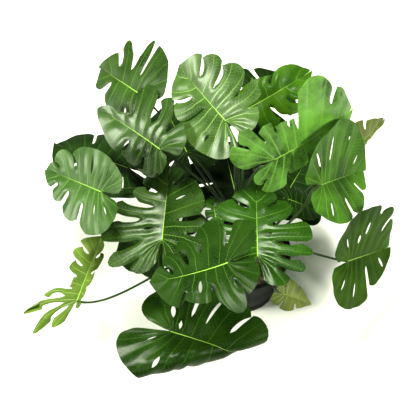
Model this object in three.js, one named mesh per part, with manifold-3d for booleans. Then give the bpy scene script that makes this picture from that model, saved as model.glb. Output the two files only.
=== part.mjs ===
// A potted swiss cheese plant: a round plastic nursery pot filled with soil, four short
// stems, and large split and holed leaves on long stalks. Millimetres, +Z up, +Y is away
// from the viewer, and the origin is the centre of the pot's base on the floor.
import * as THREE from 'three';
import { mergeVertices } from 'three/addons/utils/BufferGeometryUtils.js';
import Module from 'manifold-3d';

const wasm = await Module();
wasm.setup();

// Pot
const POT_HEIGHT = 200;
const POT_TOP_RADIUS = 126;
const POT_BASE_RADIUS = 97;
const POT_WALL = 3;
const RIM_HEIGHT = 22;
const RIM_OVERHANG = 5;
const POT_SIDES = 36;

// Soil and stems
const GAP = 0.3;
const SOIL_TOP = 178;
const SOIL_MOUND = 6;
const STEM_DEPTH = 85;
const STEM_SIDES = 10;
const STEMS = {
  left: { x: -46, y: -4, radius: 15, height: 92, lean: [-0.16, -0.03] },
  back: { x: -8, y: 46, radius: 14, height: 112, lean: [-0.08, 0.12] },
  right: { x: 44, y: 6, radius: 14, height: 100, lean: [0.14, 0.04] },
  front: { x: 2, y: -44, radius: 13, height: 84, lean: [0.02, -0.14] },
};

// Blades, stalks and midribs
const RAD = Math.PI / 180;
const BLADE = 0.9;
const STALK_RADIUS = 4.2;
const STALK_TIP_RADIUS = 2.8;
const KNEE_RADIUS = 3.5;
const STALK_SIDES = 5;
const STALK_STEPS = 8;
const MIDRIB_BASE = 3.4;
const MIDRIB_TIP = 1.2;
const MIDRIB_PLACES = [0.22, 0.45, 0.64, 0.82, 1];

// Outline of half a blade, as radius over midrib length at angles from the tip round to the notch
const OUTLINE_ANGLE = [0, 8, 22, 45, 70, 95, 120, 145, 165, 180];
const OUTLINE_RADIUS = [1.0, 0.94, 0.88, 0.765, 0.67, 0.61, 0.565, 0.49, 0.36, 0.12];
const NOTCH_ANGLE = 8;
const ROWS = [0, 0.2, 0.36, 0.54, 0.76, 1];
const PLAIN_LOBE = [1, 0, 0, 0.11];
const LOBE_ROOT = 0.12;
const SHORTEST_LOBE = 0.04;
const TIP_HOLD = 0.88;
const LEFT = 0;
const RIGHT = 1;

// Each leaf: where its stalk meets the blade, the way the midrib points (heading, pitch, roll in
// degrees), midrib length, width of its left and right halves, droop along the midrib, and for
// each half the fold up from the midrib and the curl down of its margin. A cut between two lobes
// is [place from notch 0 to tip 1, inner end, outer end, width at inner end, width at margin];
// it is a slot where its outer end is 1, and a hole where it is less. Lobes between two slots,
// counted from the notch, may have a shape: [reach, dip of the end, sway to the tip, rounding].
const LEAVES = [
  {
    name: 'leaf_left', stem: 'left', up: 60, base: [-386, 11, 465], heading: 141.5, pitch: -19,
    roll: -46, length: 214, wide: [0.93, 0.86], droop: -8, fold: [12, 16], curl: [15, 17],
    via: [[-150, 64, 310], [-308, 88, 372], [-360, 48, 418]],
    rise: 1,
    left: [
      [0.2, 0.45, 0.7, 5], [0.4, 0.3, 0.55, 4], [0.6, 0.34, 1, 7, 14], [0.78, 0.3, 1, 9, 16],
      [0.9, 0.4, 1, 7, 11],
    ],
    right: [[0.33, 0.5, 0.75, 4], [0.55, 0.3, 0.8, 9], [0.76, 0.32, 1, 8, 12], [0.92, 0.4, 1, 6, 19]],
    lobes: [
      [[0.96, 0, 0, 0.2], [0.9, 0, 0, 0.2], [0.85, 0, 0, 0.25], [0.9, 0, 0, 0.11]],
      [[0.9, 0, 0.03, 0.2], [1.03, 0, 0.03, 0.2], [1.1, 0, 0, 0.11]],
    ],
  },
  {
    name: 'leaf_upper_left', stem: 'back', up: 58, base: [-234, 121, 505], heading: 131, pitch: -11,
    roll: -52, length: 250, wide: [1, 0.91], droop: -15, fold: [8, 6], curl: [30, 30], rise: 1,
    left: [[0.3, 0.45, 1, 6, 9], [0.54, 0.25, 1, 8, 16], [0.74, 0.2, 1, 9, 29]],
    right: [[0.4, 0.35, 1, 10, 36], [0.6, 0.3, 1, 24, 44], [0.8, 0.3, 1, 10, 30]],
    lobes: [
      [[0.5, 0, 0, 0.11], [0.55, 0, 0.06, 0.15], [0.55, 0, 0.04, 0.2], [0.72, 0, 0, 0.3]],
      [[0.82, 0, 0, 0.11], [0.92, 0, 0.06, 0.2], [1.05, 0, 0.01, 0.2], [0.34, 0, 0, 0.11]],
    ],
  },
  {
    name: 'leaf_top_left', stem: 'back', up: 33, base: [-291, 293, 530], heading: 129, pitch: -16,
    roll: -46, length: 218, wide: [0.95, 1.03], droop: 0, fold: [9, 9], curl: [45, 15],
    left: [[0.3, 0.5, 1, 6, 9], [0.56, 0.4, 1, 8, 14], [0.86, 0.2, 1, 9, 30]],
    right: [[0.52, 0.28, 1, 6, 12], [0.67, 0.3, 1, 8, 44], [0.82, 0.34, 1, 12, 32]],
    lobes: [
      [[0.5, 0, 0, 0.11], [0.58, 0, 0, 0.11], [0.85, 0, 0, 0.3], [1.25, 0, 0, 0.3]],
      [[1.02, 0, 0, 0], [1.06, 0, 0, 0.3], [1.02, 0, 0.02, 0.2], [0.85, 0, 0, 0.11]],
    ],
  },
  {
    name: 'leaf_top_middle', stem: 'back', up: 98, base: [-62, 124, 615], heading: 130, pitch: 12,
    roll: -50, length: 205, wide: [0.92, 1.03], droop: 6, fold: [12, 14], curl: [15, 28],
    left: [[0.12, 0.5, 0.75, 8], [0.44, 0.5, 0.7, 8], [0.66, 0.14, 1, 5, 9], [0.8, 0.28, 1, 7, 14]],
    right: [
      [0.34, 0.6, 1, 6, 12], [0.5, 0.42, 1, 6, 8], [0.7, 0.28, 1, 6, 15], [0.845, 0.36, 1, 9, 19],
    ],
    lobes: [
      [[0.92, 0, 0.04, 0.11], [0.92, 0, 0.03, 0.11], [1.05, 0, 0.02, 0.11]],
      [[0.9, 0, 0, 0.11], [0.97, 0, 0.05, 0], [1, 0, 0.045, 0.2], [1.03, 0, 0.03, 0.11],
       [1.15, 0, 0, 0.11]],
    ],
  },
  {
    name: 'leaf_upper_right', stem: 'back', up: 80, base: [58, 30, 575], heading: 30, pitch: 4,
    roll: 56, length: 292, wide: [1.08, 0.64], droop: 24, fold: [18, -10], curl: [0, 0],
    via: [[4, 84, 400], [26, 76, 480]],
    left: [
      [0.2, 0.55, 1, 8, 12], [0.34, 0.36, 1, 6, 8], [0.46, 0.36, 1, 5, 7], [0.56, 0.34, 1, 5, 8],
      [0.62, 0.25, 1, 8, 20], [0.85, 0.5, 1, 12, 20],
    ],
    right: [[0.3, 0.45, 1, 7, 12], [0.5, 0.4, 1, 6, 9], [0.7, 0.4, 1, 6, 9], [0.86, 0.4, 1, 8, 12]],
    lobes: [
      [[0.95, 0, 0, 0.11], [0.85, 0, 0, 0.2], [0.6, 0, 0, 0.2], [0.48, 0, 0, 0.2],
       [0.45, 0, 0, 0.2], [1, 0, 0, 0.2], [1, 0, 0, 0.11]],
      [[0.62, 0, 0, 0.11], [0.8, 0, 0, 0.15], [0.5, 0, 0, 0.15], [0.45, 0, 0, 0.15],
       [0.8, 0, 0, 0.11]],
    ],
  },
  {
    name: 'leaf_top_right', stem: 'back', up: 44, base: [0, 280, 485], heading: 30, pitch: 8,
    roll: 48, length: 240, wide: [0.66, 0.62], droop: 18, fold: [6, 6], curl: [16, 22],
    left: [[0.35, 0.3, 1, 6, 12], [0.7, 0.3, 1, 8, 36]],
    right: [[0.45, 0.2, 1, 5, 20], [0.63, 0.2, 1, 9, 20], [0.77, 0.3, 1, 6, 23]],
    lobes: [
      [[0.5, 0, 0, 0.2], [0.62, 0, 0.06, 0.3], [0.86, 0, 0.04, 0.2]],
      [[0.6, 0, 0.02, 0.2], [0.95, 0, 0.04, 0.2], [1.02, 0, 0.06, 0.15], [0.9, 0, 0.02, 0.2]],
    ],
  },
  {
    name: 'leaf_right', stem: 'right', up: 62, base: [190, 30, 470], heading: 46, pitch: -32,
    roll: 46, length: 230, wide: [1.12, 0.86], droop: -6, fold: [24, 24], curl: [-9, 17],
    via: [[100, -10, 330], [148, 6, 408]],
    left: [[0.24, 0.3, 0.9, 7], [0.46, 0.35, 0.8, 9], [0.71, 0.35, 0.9, 8], [0.87, 0.3, 0.6, 5]],
    right: [[0.36, 0.4, 0.85, 7], [0.64, 0.42, 1, 9, 17], [0.86, 0.3, 1, 6, 9]],
    lobes: [[[1.08, 0, 0, 0.11]], [[0.95, 0, 0, 0.11], [1, 0, 0, 0.2], [1, 0, 0, 0.2]]],
  },
  {
    name: 'leaf_lower_right', stem: 'right', up: 24, base: [275, -85, 275], heading: 37, pitch: -30,
    roll: 57, length: 220, wide: [1.25, 1], droop: 2, fold: [17, 14], curl: [-6, 14],
    left: [
      [0.24, 0.4, 0.7, 5], [0.46, 0.3, 0.45, 10], [0.55, 0.42, 0.66, 10], [0.66, 0.8, 1, 7, 12],
      [0.8, 0.5, 1, 8, 14],
    ],
    right: [
      [0.25, 0.45, 0.75, 5], [0.48, 0.45, 0.75, 7], [0.69, 0.2, 1, 10, 16], [0.87, 0.24, 0.75, 10],
    ],
    lobes: [
      [[0.98, 0, 0, 0.2], [1.05, 0, 0.01, 0.12], [1, 0, 0, 0.11]],
      [[1, 0, 0, 0.11], [0.8, 0, 0, 0.2], [0.9, 0, 0, 0.11]],
    ],
  },
  {
    name: 'leaf_middle_left', stem: 'left', up: 40, base: [-227, -93, 395], heading: 87, pitch: 4,
    roll: -16, length: 242, wide: [1.07, 0.9], droop: 5, fold: [15, 15], curl: [10, 18],
    left: [
      [0.2, 0.62, 1, 7, 10], [0.38, 0.36, 1, 12, 28], [0.5, 0.15, 0.3, 9], [0.6, 0.36, 1, 12, 26],
      [0.72, 0.2, 1, 10, 18], [0.84, 0.24, 1, 9, 27],
    ],
    right: [
      [0.24, 0.4, 0.7, 5], [0.44, 0.5, 1, 7, 11], [0.57, 0.26, 1, 9, 21], [0.75, 0.25, 0.55, 6],
      [0.89, 0.22, 1, 9, 20],
    ],
    lobes: [
      [[1, 0, 0, 0.11], [1.07, 0, 0.02, 0.2], [1, 0, 0.02, 0.25], [0.95, 0, 0.03, 0.12],
       [0.78, 0, 0.03, 0.3], [0.95, 0, 0, 0.2]],
      [[1, 0, 0, 0.11], [0.9, 0, 0.02, 0.2], [0.9, 0, 0, 0.2], [1, 0, 0, 0.11]],
    ],
  },
  {
    name: 'leaf_middle_right', stem: 'front', up: 50, base: [16, -177, 450], heading: 89, pitch: 3,
    roll: -2, length: 228, wide: [0.98, 0.95], droop: 10, fold: [11, 8], curl: [27, 20],
    left: [[0.3, 0.4, 0.8, 6], [0.5, 0.3, 1, 7, 13], [0.7, 0.2, 1, 8, 14], [0.86, 0.22, 1, 8, 22]],
    right: [
      [0.28, 0.48, 1, 8, 11], [0.41, 0.4, 1, 9, 13], [0.54, 0.32, 1, 10, 17],
      [0.62, 0.12, 0.25, 7], [0.71, 0.25, 1, 9, 18], [0.86, 0.3, 1, 7, 21],
    ],
    lobes: [
      [[1, 0, 0, 0.11], [1, 0, 0.05, 0.2], [1, 0, 0.03, 0.2], [1, 0, 0, 0.11]],
      [[0.92, 0, 0, 0.11], [0.97, 0, 0.03, 0.2], [1.03, 0, 0.03, 0.25], [1.03, 0, 0.01, 0.12],
       [0.95, 0, 0.03, 0.25], [0.95, 0, 0, 0.2]],
    ],
  },
  {
    name: 'leaf_front_middle', stem: 'front', up: 70, base: [-60, -235, 515], heading: 181,
    pitch: -35, roll: -2, length: 212, wide: [1.02, 0.97], droop: -22, fold: [5, 5], curl: [31, 8],
    via: [[-20, -125, 330], [10, -205, 418], [15, -234, 456]],
    left: [
      [0.33, 0.42, 1, 7, 12], [0.58, 0.3, 1, 8, 26], [0.68, 0.2, 0.44, 10], [0.8, 0.4, 1, 7, 12],
    ],
    right: [
      [0.4, 0.34, 1, 8, 12], [0.66, 0.36, 1, 8, 14], [0.78, 0.2, 1, 8, 21], [0.9, 0.16, 1, 6, 19],
    ],
    lobes: [
      [[1, 0, 0, 0.11], [1.02, 0, -0.03, 0.3], [0.62, 0, 0, 0.11], [0.9, 0, 0, 0.11]],
      [[1, 0, 0, 0.11], [1.02, 0, 0.05, 0.25], [1, 0, 0.06, 0.18], [1, 0, 0.03, 0.2],
       [1, 0, 0, 0.11]],
    ],
  },
  {
    name: 'leaf_front_low', stem: 'left', up: 22, base: [-205, -290, 260], heading: -22, pitch: 8,
    roll: -12, length: 270, wide: [1.03, 0.93], droop: 4, fold: [8, 8], curl: [17, 19],
    crease: { at: 112, turn: 40, angle: 150, radius: 26 },
    left: [
      [0.32, 0.28, 0.54, 12], [0.42, 0.1, 0.2, 10], [0.5, 0.34, 1, 8, 10], [0.63, 0.28, 0.85, 9],
      [0.79, 0.34, 1, 10, 22],
    ],
    right: [
      [0.24, 0.3, 0.5, 4], [0.46, 0.55, 0.72, 9], [0.66, 0.4, 1, 7, 11], [0.84, 0.35, 1, 7, 10],
    ],
    lobes: [[[1, 0, 0, 0.11], [1.08, 0, 0.03, 0.15], [1.15, 0, 0, 0.15]], [[1.05, 0, 0, 0.11]]],
  },
  {
    name: 'leaf_behind_left', stem: 'left', up: 44, base: [-338, 194, 330], heading: 156, pitch: 1,
    roll: 14, length: 245, wide: [1, 1], droop: 6, fold: [12, 9], curl: [22, 34], columns: 1,
    left: [[0.35, 0.4, 0.8, 6], [0.58, 0.3, 1, 8, 12], [0.78, 0.3, 1, 8, 12]],
    right: [[0.35, 0.4, 0.8, 6], [0.6, 0.35, 1, 6, 9], [0.8, 0.4, 1, 6, 9]],
  },
  {
    name: 'leaf_young_pale', stem: 'left', up: 32, base: [-462, -187, 235], heading: 72, pitch: 16,
    roll: 30, length: 190, wide: [1.3, 0.42], droop: -10, fold: [0, 10], curl: [30, 20], twist: 0,
    finish: 'pale', columns: 1,
    left: [
      [0.12, 0.3, 1, 8, 14], [0.24, 0.3, 1, 9, 30], [0.38, 0.25, 1, 12, 34], [0.5, 0.15, 1, 6, 10],
      [0.66, 0.15, 1, 6, 10], [0.78, 0.15, 1, 6, 21], [0.89, 0.2, 1, 6, 19],
    ],
    right: [
      [0.4, 0.2, 1, 8, 16], [0.58, 0.2, 1, 8, 22], [0.74, 0.2, 1, 7, 25], [0.88, 0.2, 1, 6, 19],
    ],
    lobes: [
      [[1.2, 10, 0, 0.3], [1.4, 15, -0.04, 0.3], [1.22, -30, -0.04, 0.3], [0.62, 0, -0.08, 0.3],
       [0.17, 0, 0, 0.1], [0.36, 0, 0.03, 0.2], [0.58, 0, 0.02, 0.2], [0.85, 0, 0, 0.11]],
      [[0.3, 0, 0, 0.2], [0.25, 0, 0.05, 0.2], [0.4, 0, 0.05, 0.3], [0.9, 10, 0.04, 0.3],
       [1, 0, 0, 0.2]],
    ],
  },
  {
    name: 'leaf_young_olive', stem: 'front', up: 14, base: [98, -153, 215], heading: -16, pitch: -12,
    roll: 20, length: 88, wide: [1, 1], droop: 14, fold: [20, 25], curl: [40, 70], twist: -50,
    via: [[60, -90, 232]],
    finish: 'olive', columns: 1,
    left: [[0.4, 0.35, 1, 4, 8], [0.7, 0.35, 1, 4, 7]],
    right: [[0.45, 0.35, 1, 4, 7], [0.72, 0.35, 1, 4, 7]],
    lobes: [
      [[0.6, 0, 0, 0.2], [0.85, 0, 0, 0.1], [0.95, 0, 0, 0.1]],
      [[0.8, 0, 0, 0.2], [0.8, 0, 0, 0.1], [0.7, 0, 0, 0.1]],
    ],
  },
  {
    name: 'leaf_right_back', stem: 'right', up: 52, base: [295, 190, 416], heading: 44, pitch: 5,
    roll: 60, length: 150, wide: [0.8, 0.7], droop: 8, fold: [10, 6], curl: [20, 30], rise: 0.7,
    finish: 'olive', columns: 1,
    left: [[0.45, 0.35, 1, 6, 10], [0.72, 0.35, 1, 6, 10]],
    right: [[0.45, 0.2, 1, 6, 10], [0.72, 0.2, 1, 6, 10]],
    lobes: [
      [[1, 0, 0, 0.11], [0.9, 0, 0, 0.11], [0.72, 0, 0.02, 0]],
      [[0.4, 0, 0, 0.1], [0.25, 0, 0, 0.1], [0.22, 0, 0, 0.1]],
    ],
  },
  {
    name: 'leaf_small_dark', stem: 'right', up: 92, base: [112, 52, 374], heading: -6, pitch: -22,
    roll: -2, length: 108, wide: [0.9, 0.85], droop: 12, fold: [8, 10], curl: [34, 22], columns: 1,
    left: [[0.5, 0.35, 1, 5, 8]],
    right: [[0.5, 0.35, 1, 5, 8]],
  },
  {
    name: 'leaf_small_bright', stem: 'left', up: 82, base: [-87, -8, 376], heading: 100, pitch: 6,
    roll: 0, length: 70, wide: [0.62, 0.62], droop: 10, fold: [12, 12], curl: [20, 20], columns: 1,
    left: [[0.4, 0.35, 1, 5, 9], [0.68, 0.3, 1, 5, 9]],
    right: [[0.4, 0.35, 1, 5, 9], [0.68, 0.3, 1, 5, 9]],
  },
  {
    name: 'leaf_inner_left', stem: 'back', up: 4, base: [-168, 225, 365], heading: 112, pitch: 0,
    roll: -20, length: 210, wide: [1, 0.9], droop: 12, fold: [10, 10], curl: [20, 20], columns: 1,
    left: [[0.35, 0.35, 1, 7, 11], [0.6, 0.35, 1, 8, 13], [0.8, 0.35, 1, 7, 12]],
    right: [[0.35, 0.35, 1, 7, 11], [0.6, 0.35, 1, 8, 13], [0.8, 0.35, 1, 7, 12]],
  },
  {
    name: 'leaf_inner_right', stem: 'right', up: 31, base: [100, 100, 285], heading: 62, pitch: 0,
    roll: 10, length: 215, wide: [1, 1], droop: 12, fold: [10, 10], curl: [20, 20], columns: 1,
    left: [[0.35, 0.35, 1, 7, 11], [0.6, 0.35, 1, 8, 13], [0.8, 0.35, 1, 7, 12]],
    right: [[0.35, 0.35, 1, 7, 11], [0.6, 0.35, 1, 8, 13], [0.8, 0.35, 1, 7, 12]],
    lobes: [[[0.55, 0, 0, 0.2], [0.9, 0, 0, 0.2]], [[0.55, 0, 0, 0.2], [0.9, 0, 0, 0.2]]],
  },
  {
    name: 'leaf_low_left', stem: 'left', up: 8, base: [-190, -20, 285], heading: 190, pitch: -8,
    roll: 0, length: 185, wide: [1, 1], droop: 12, fold: [10, 10], curl: [20, 20], columns: 1,
    left: [[0.35, 0.35, 1, 7, 11], [0.6, 0.35, 1, 8, 13], [0.8, 0.35, 1, 7, 12]],
    right: [[0.35, 0.35, 1, 7, 11], [0.6, 0.35, 1, 8, 13], [0.8, 0.35, 1, 7, 12]],
  },
  {
    name: 'leaf_low_back', stem: 'back', up: 10, base: [-25, 150, 250], heading: 99, pitch: -3,
    roll: 0, length: 235, wide: [1.05, 1.05], droop: 10, fold: [10, 10], curl: [20, 20], columns: 1,
    left: [[0.35, 0.35, 1, 7, 11], [0.6, 0.35, 1, 8, 13], [0.8, 0.35, 1, 7, 12]],
    right: [[0.35, 0.35, 1, 7, 11], [0.6, 0.35, 1, 8, 13], [0.8, 0.35, 1, 7, 12]],
    lobes: [[[0.55, 0, 0, 0.2], [0.9, 0, 0, 0.2]], [[0.55, 0, 0, 0.2], [0.9, 0, 0, 0.2]]],
  },
  {
    name: 'leaf_far_back', stem: 'back', up: 24, base: [12, 335, 405], heading: 58, pitch: 2,
    roll: 12, length: 205, wide: [1, 0.9], droop: 10, fold: [10, 10], curl: [20, 20], columns: 1,
    left: [[0.4, 0.3, 1, 8, 20], [0.62, 0.3, 1, 8, 24], [0.82, 0.3, 1, 8, 18]],
    right: [[0.4, 0.3, 1, 8, 20], [0.62, 0.3, 1, 8, 24], [0.82, 0.3, 1, 8, 18]],
  },
];

// Gives the outline radius at an angle by a smooth curve through the table
function outlineRadius(angle) {
  const last = OUTLINE_ANGLE.length - 1;
  const a = Math.min(Math.max(angle, 0), 180);
  let i = 0;
  while (i < last - 1 && a > OUTLINE_ANGLE[i + 1]) {
    i += 1;
  }
  const slope = (k) => {
    const lo = Math.max(k - 1, 0);
    const hi = Math.min(k + 1, last);
    return (OUTLINE_RADIUS[hi] - OUTLINE_RADIUS[lo]) / (OUTLINE_ANGLE[hi] - OUTLINE_ANGLE[lo]);
  };
  const h = OUTLINE_ANGLE[i + 1] - OUTLINE_ANGLE[i];
  const t = (a - OUTLINE_ANGLE[i]) / h;
  const t2 = t * t;
  const t3 = t2 * t;
  return (2 * t3 - 3 * t2 + 1) * OUTLINE_RADIUS[i] + (t3 - 2 * t2 + t) * h * slope(i)
    + (3 * t2 - 2 * t3) * OUTLINE_RADIUS[i + 1] + (t3 - t2) * h * slope(i + 1);
}

// Gives a point of a flat half blade: s runs from the notch (0) to the tip (1), t from the
// midrib (0) to the margin (1). The result is [along the midrib, out from the midrib].
function flatPoint(leaf, side, s, t) {
  const angle = (180 - NOTCH_ANGLE) * (1 - s);
  const radius = outlineRadius(angle) * leaf.length;
  const edgeX = radius * Math.cos(angle * RAD);
  const edgeY = radius * Math.sin(angle * RAD) * leaf.wide[side];
  const rootX = rayRoot(leaf, s);
  const bendX = rootX + 0.38 * (edgeX - rootX);
  const bendY = 0.55 * edgeY;
  const u = 1 - t;
  return [
    u * u * rootX + 2 * t * u * bendX + t * t * edgeX,
    2 * t * u * bendY + t * t * edgeY,
  ];
}

// Folds the half up from the midrib, curls its margin down and lets the midrib droop
function bentPoint(leaf, side, x, y) {
  const fold = leaf.fold[side] * RAD;
  const curl = (leaf.curl[side] * RAD) / (0.6 * leaf.length);
  const droop = leaf.droop * RAD;
  let out = y * Math.cos(fold);
  let up = y * Math.sin(fold);
  if (Math.abs(curl) > 1e-9) {
    out = (Math.sin(fold) - Math.sin(fold - curl * y)) / curl;
    up = (Math.cos(fold - curl * y) - Math.cos(fold)) / curl;
  }
  const along = x > 0 ? x : x / 2;
  const rest = x - along;
  const angle = (droop * along) / leaf.length;
  let midX = along;
  let midZ = 0;
  if (Math.abs(droop) > 1e-9) {
    const bow = leaf.length / droop;
    midX = bow * Math.sin(angle);
    midZ = -bow * (1 - Math.cos(angle));
  }
  const sideways = side === LEFT ? out : -out;
  const twist = ((leaf.twist ?? 0) * RAD * x) / leaf.length;
  const across = sideways * Math.cos(twist) - up * Math.sin(twist);
  up = sideways * Math.sin(twist) + up * Math.cos(twist);
  midX += rest * Math.cos(angle);
  midZ -= rest * Math.sin(angle);
  const point = new THREE.Vector3(
    midX + up * Math.sin(angle),
    across,
    midZ + up * Math.cos(angle),
  );
  return leaf.crease ? creasedPoint(leaf.crease, point) : point;
}

// Folds what lies past a crease down and under: the crease crosses the midrib at a distance
// from the notch, turned from the midrib by an angle
function creasedPoint({ at, turn, angle, radius }, point) {
  const line = new THREE.Vector3(Math.cos(turn * RAD), Math.sin(turn * RAD), 0);
  const past = new THREE.Vector3(line.y, -line.x, 0);
  const offset = new THREE.Vector3(point.x - at, point.y, 0);
  const distance = offset.dot(past);
  if (distance <= 0) {
    return point;
  }
  const bend = Math.min(distance / radius, angle * RAD);
  const straight = distance - bend * radius;
  const reach = radius * Math.sin(bend) + straight * Math.cos(bend) + point.z * Math.sin(bend);
  const height = -radius * (1 - Math.cos(bend)) - straight * Math.sin(bend) + point.z * Math.cos(bend);
  return new THREE.Vector3(at, 0, height)
    .addScaledVector(line, offset.dot(line))
    .addScaledVector(past, reach);
}

// Gives the leaf's own frame: x along the midrib, y to its left, z out of its upper face
function leafMatrix(leaf) {
  const heading = leaf.heading * RAD;
  const pitch = leaf.pitch * RAD;
  const roll = leaf.roll * RAD;
  const along = new THREE.Vector3(
    Math.cos(pitch) * Math.cos(heading),
    Math.cos(pitch) * Math.sin(heading),
    Math.sin(pitch),
  );
  const left = new THREE.Vector3(-Math.sin(heading), Math.cos(heading), 0);
  left.applyAxisAngle(along, roll);
  const face = new THREE.Vector3().crossVectors(along, left);
  return new THREE.Matrix4().makeBasis(along, left, face).setPosition(...leaf.base);
}

// Gives half the width of a cut at t
function halfCut([, inner, outer, innerWidth, outerWidth], t) {
  if (t <= inner || t > outer) {
    return 0;
  }
  const along = (t - inner) / (outer - inner);
  if (outer >= 1) {
    const width = innerWidth + (outerWidth - innerWidth) * along;
    return (width * Math.sin(Math.min(1, along / 0.18) * Math.PI * 0.5)) / 2;
  }
  return (innerWidth * Math.sin(Math.PI * along) ** 0.6) / 2;
}

// Turns half the width of a cut into a step of s
function halfCutStep(leaf, side, cut, t) {
  const step = 0.01;
  const [x1, y1] = flatPoint(leaf, side, cut[0] - step, t);
  const [x2, y2] = flatPoint(leaf, side, cut[0] + step, t);
  const perStep = Math.hypot(x2 - x1, y2 - y1) / (2 * step);
  return halfCut(cut, t) / Math.max(perStep, 1);
}

// Moves a cut's ends to the shared rows, and leaves a hole at least one row in its middle
function seatOnRows([place, inner, outer, innerWidth, outerWidth]) {
  const nearest = (t) => ROWS.reduce((best, row, i) => (
    Math.abs(row - t) < Math.abs(ROWS[best] - t) ? i : best), 1);
  const last = ROWS.length - 1;
  if (outer >= 1) {
    return [place, ROWS[Math.min(nearest(inner), last - 1)], 1, innerWidth, outerWidth];
  }
  const first = Math.min(nearest(inner), last - 3);
  const end = Math.min(Math.max(nearest(outer), first + 2), last - 1);
  return [place, ROWS[first], ROWS[end], innerWidth, outerWidth];
}

// Gives how far along the midrib the ray at s starts
function rayRoot(leaf, s) {
  return 0.86 * leaf.length * Math.max((s - 0.22) / 0.78, 0) ** 1.7;
}

// Gives the lines of points, from notch to tip, that make one lobe between two cuts. Past its
// root the lobe is shaped, and the same shape goes on over a hole up to the next slot.
function lobeGrid(leaf, side, near, far, columns, shape, root) {
  const [wanted, dip, sway, rounding] = shape;
  const reach = Math.max(wanted, root + SHORTEST_LOBE);
  const short = Math.min((reach - root) / (1 - root), 1);
  return ROWS.map((row) => {
    const from = near[0] + halfCutStep(leaf, side, near, row);
    const to = far[0] - halfCutStep(leaf, side, far, row);
    const line = [];
    for (let c = 0; c <= columns; c += 1) {
      const across = c / columns;
      const cut = across < 0.5 ? near : far;
      const open = cut[2] === 1 && across !== 0.5;
      const past = THREE.MathUtils.smoothstep(row, Math.max(0.5, cut[1]), 1);
      const round = open ? rounding * short * (2 * across - 1) ** 2 * past : 0;
      const s = from + (to - from) * across;
      const held = THREE.MathUtils.smoothstep(s, TIP_HOLD, 1);
      const out = Math.max((row - root) / (1 - root), 0);
      const free = out ** 2 * (1 - held);
      const t = (row + (reach - 1) * out * (1 - held)) * (1 - round);
      const [x, y] = flatPoint(leaf, side, Math.min(s + sway * free, 1), t);
      const point = bentPoint(leaf, side, x, y);
      point.z -= dip * free;
      line.push({ s, point });
    }
    return line;
  });
}

// Gives where the lobe that holds a stretch of margin comes free: the inner end of its slots
function lobeRoot(edges, k) {
  let before = k;
  let after = k + 1;
  while (before > 0 && edges[before][2] !== 1) {
    before -= 1;
  }
  while (after < edges.length - 1 && edges[after][2] !== 1) {
    after += 1;
  }
  const ends = [edges[before], edges[after]].map((cut) => (cut[2] === 1 ? cut[1] : 0));
  return Math.max(LOBE_ROOT, ...ends);
}

// Makes the blade as one welded sheet of points and triangles, thicker along the midrib
function bladeSheet(leaf) {
  const columns = leaf.columns ?? 2;
  const points = [];
  const thickness = [];
  const faces = [];
  const known = new Map();
  const indexOf = (p, thick = BLADE) => {
    const key = [p.x, p.y, p.z].map((v) => Math.round(v * 1e3)).join(',');
    if (!known.has(key)) {
      known.set(key, points.length);
      points.push(p);
      thickness.push(thick);
    }
    return known.get(key);
  };
  const midrib = MIDRIB_PLACES.map((s) => ({
    s,
    index: indexOf(
      bentPoint(leaf, LEFT, rayRoot(leaf, s), 0),
      THREE.MathUtils.lerp(MIDRIB_BASE, MIDRIB_TIP, s),
    ),
  }));
  for (const side of [LEFT, RIGHT]) {
    const addFace = (a, b, c) => {
      if (a !== b && b !== c && a !== c) {
        faces.push(side === LEFT ? [a, b, c] : [a, c, b]);
      }
    };
    const cuts = (side === LEFT ? leaf.left : leaf.right).map(seatOnRows);
    const whole = (place) => [place, 2, 2, 0, 0];
    const edges = [whole(0), ...cuts, whole(1)];
    const inner = [];
    let lobe = 0;
    for (let k = 0; k < edges.length - 1; k += 1) {
      lobe += edges[k][2] === 1 ? 1 : 0;
      const shape = leaf.lobes?.[side]?.[lobe] ?? PLAIN_LOBE;
      const grid = lobeGrid(leaf, side, edges[k], edges[k + 1], columns, shape, lobeRoot(edges, k))
        .map((line) => line.map(({ s, point }) => ({ s, index: indexOf(point) })));
      inner.push(...(k === 0 ? grid[1] : grid[1].slice(1)));
      for (let r = 1; r < ROWS.length - 1; r += 1) {
        for (let c = 0; c < columns; c += 1) {
          addFace(grid[r][c].index, grid[r + 1][c + 1].index, grid[r + 1][c].index);
          addFace(grid[r][c].index, grid[r][c + 1].index, grid[r + 1][c + 1].index);
        }
      }
    }
    let m = 0;
    let q = 0;
    while (m < midrib.length - 1 || q < inner.length - 1) {
      const nextRib = m < midrib.length - 1 ? midrib[m + 1].s : Infinity;
      const nextRow = q < inner.length - 1 ? inner[q + 1].s : Infinity;
      if (nextRib < nextRow) {
        addFace(midrib[m].index, midrib[m + 1].index, inner[q].index);
        m += 1;
      } else {
        addFace(midrib[m].index, inner[q + 1].index, inner[q].index);
        q += 1;
      }
    }
  }
  return { points, thickness, faces };
}

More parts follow.
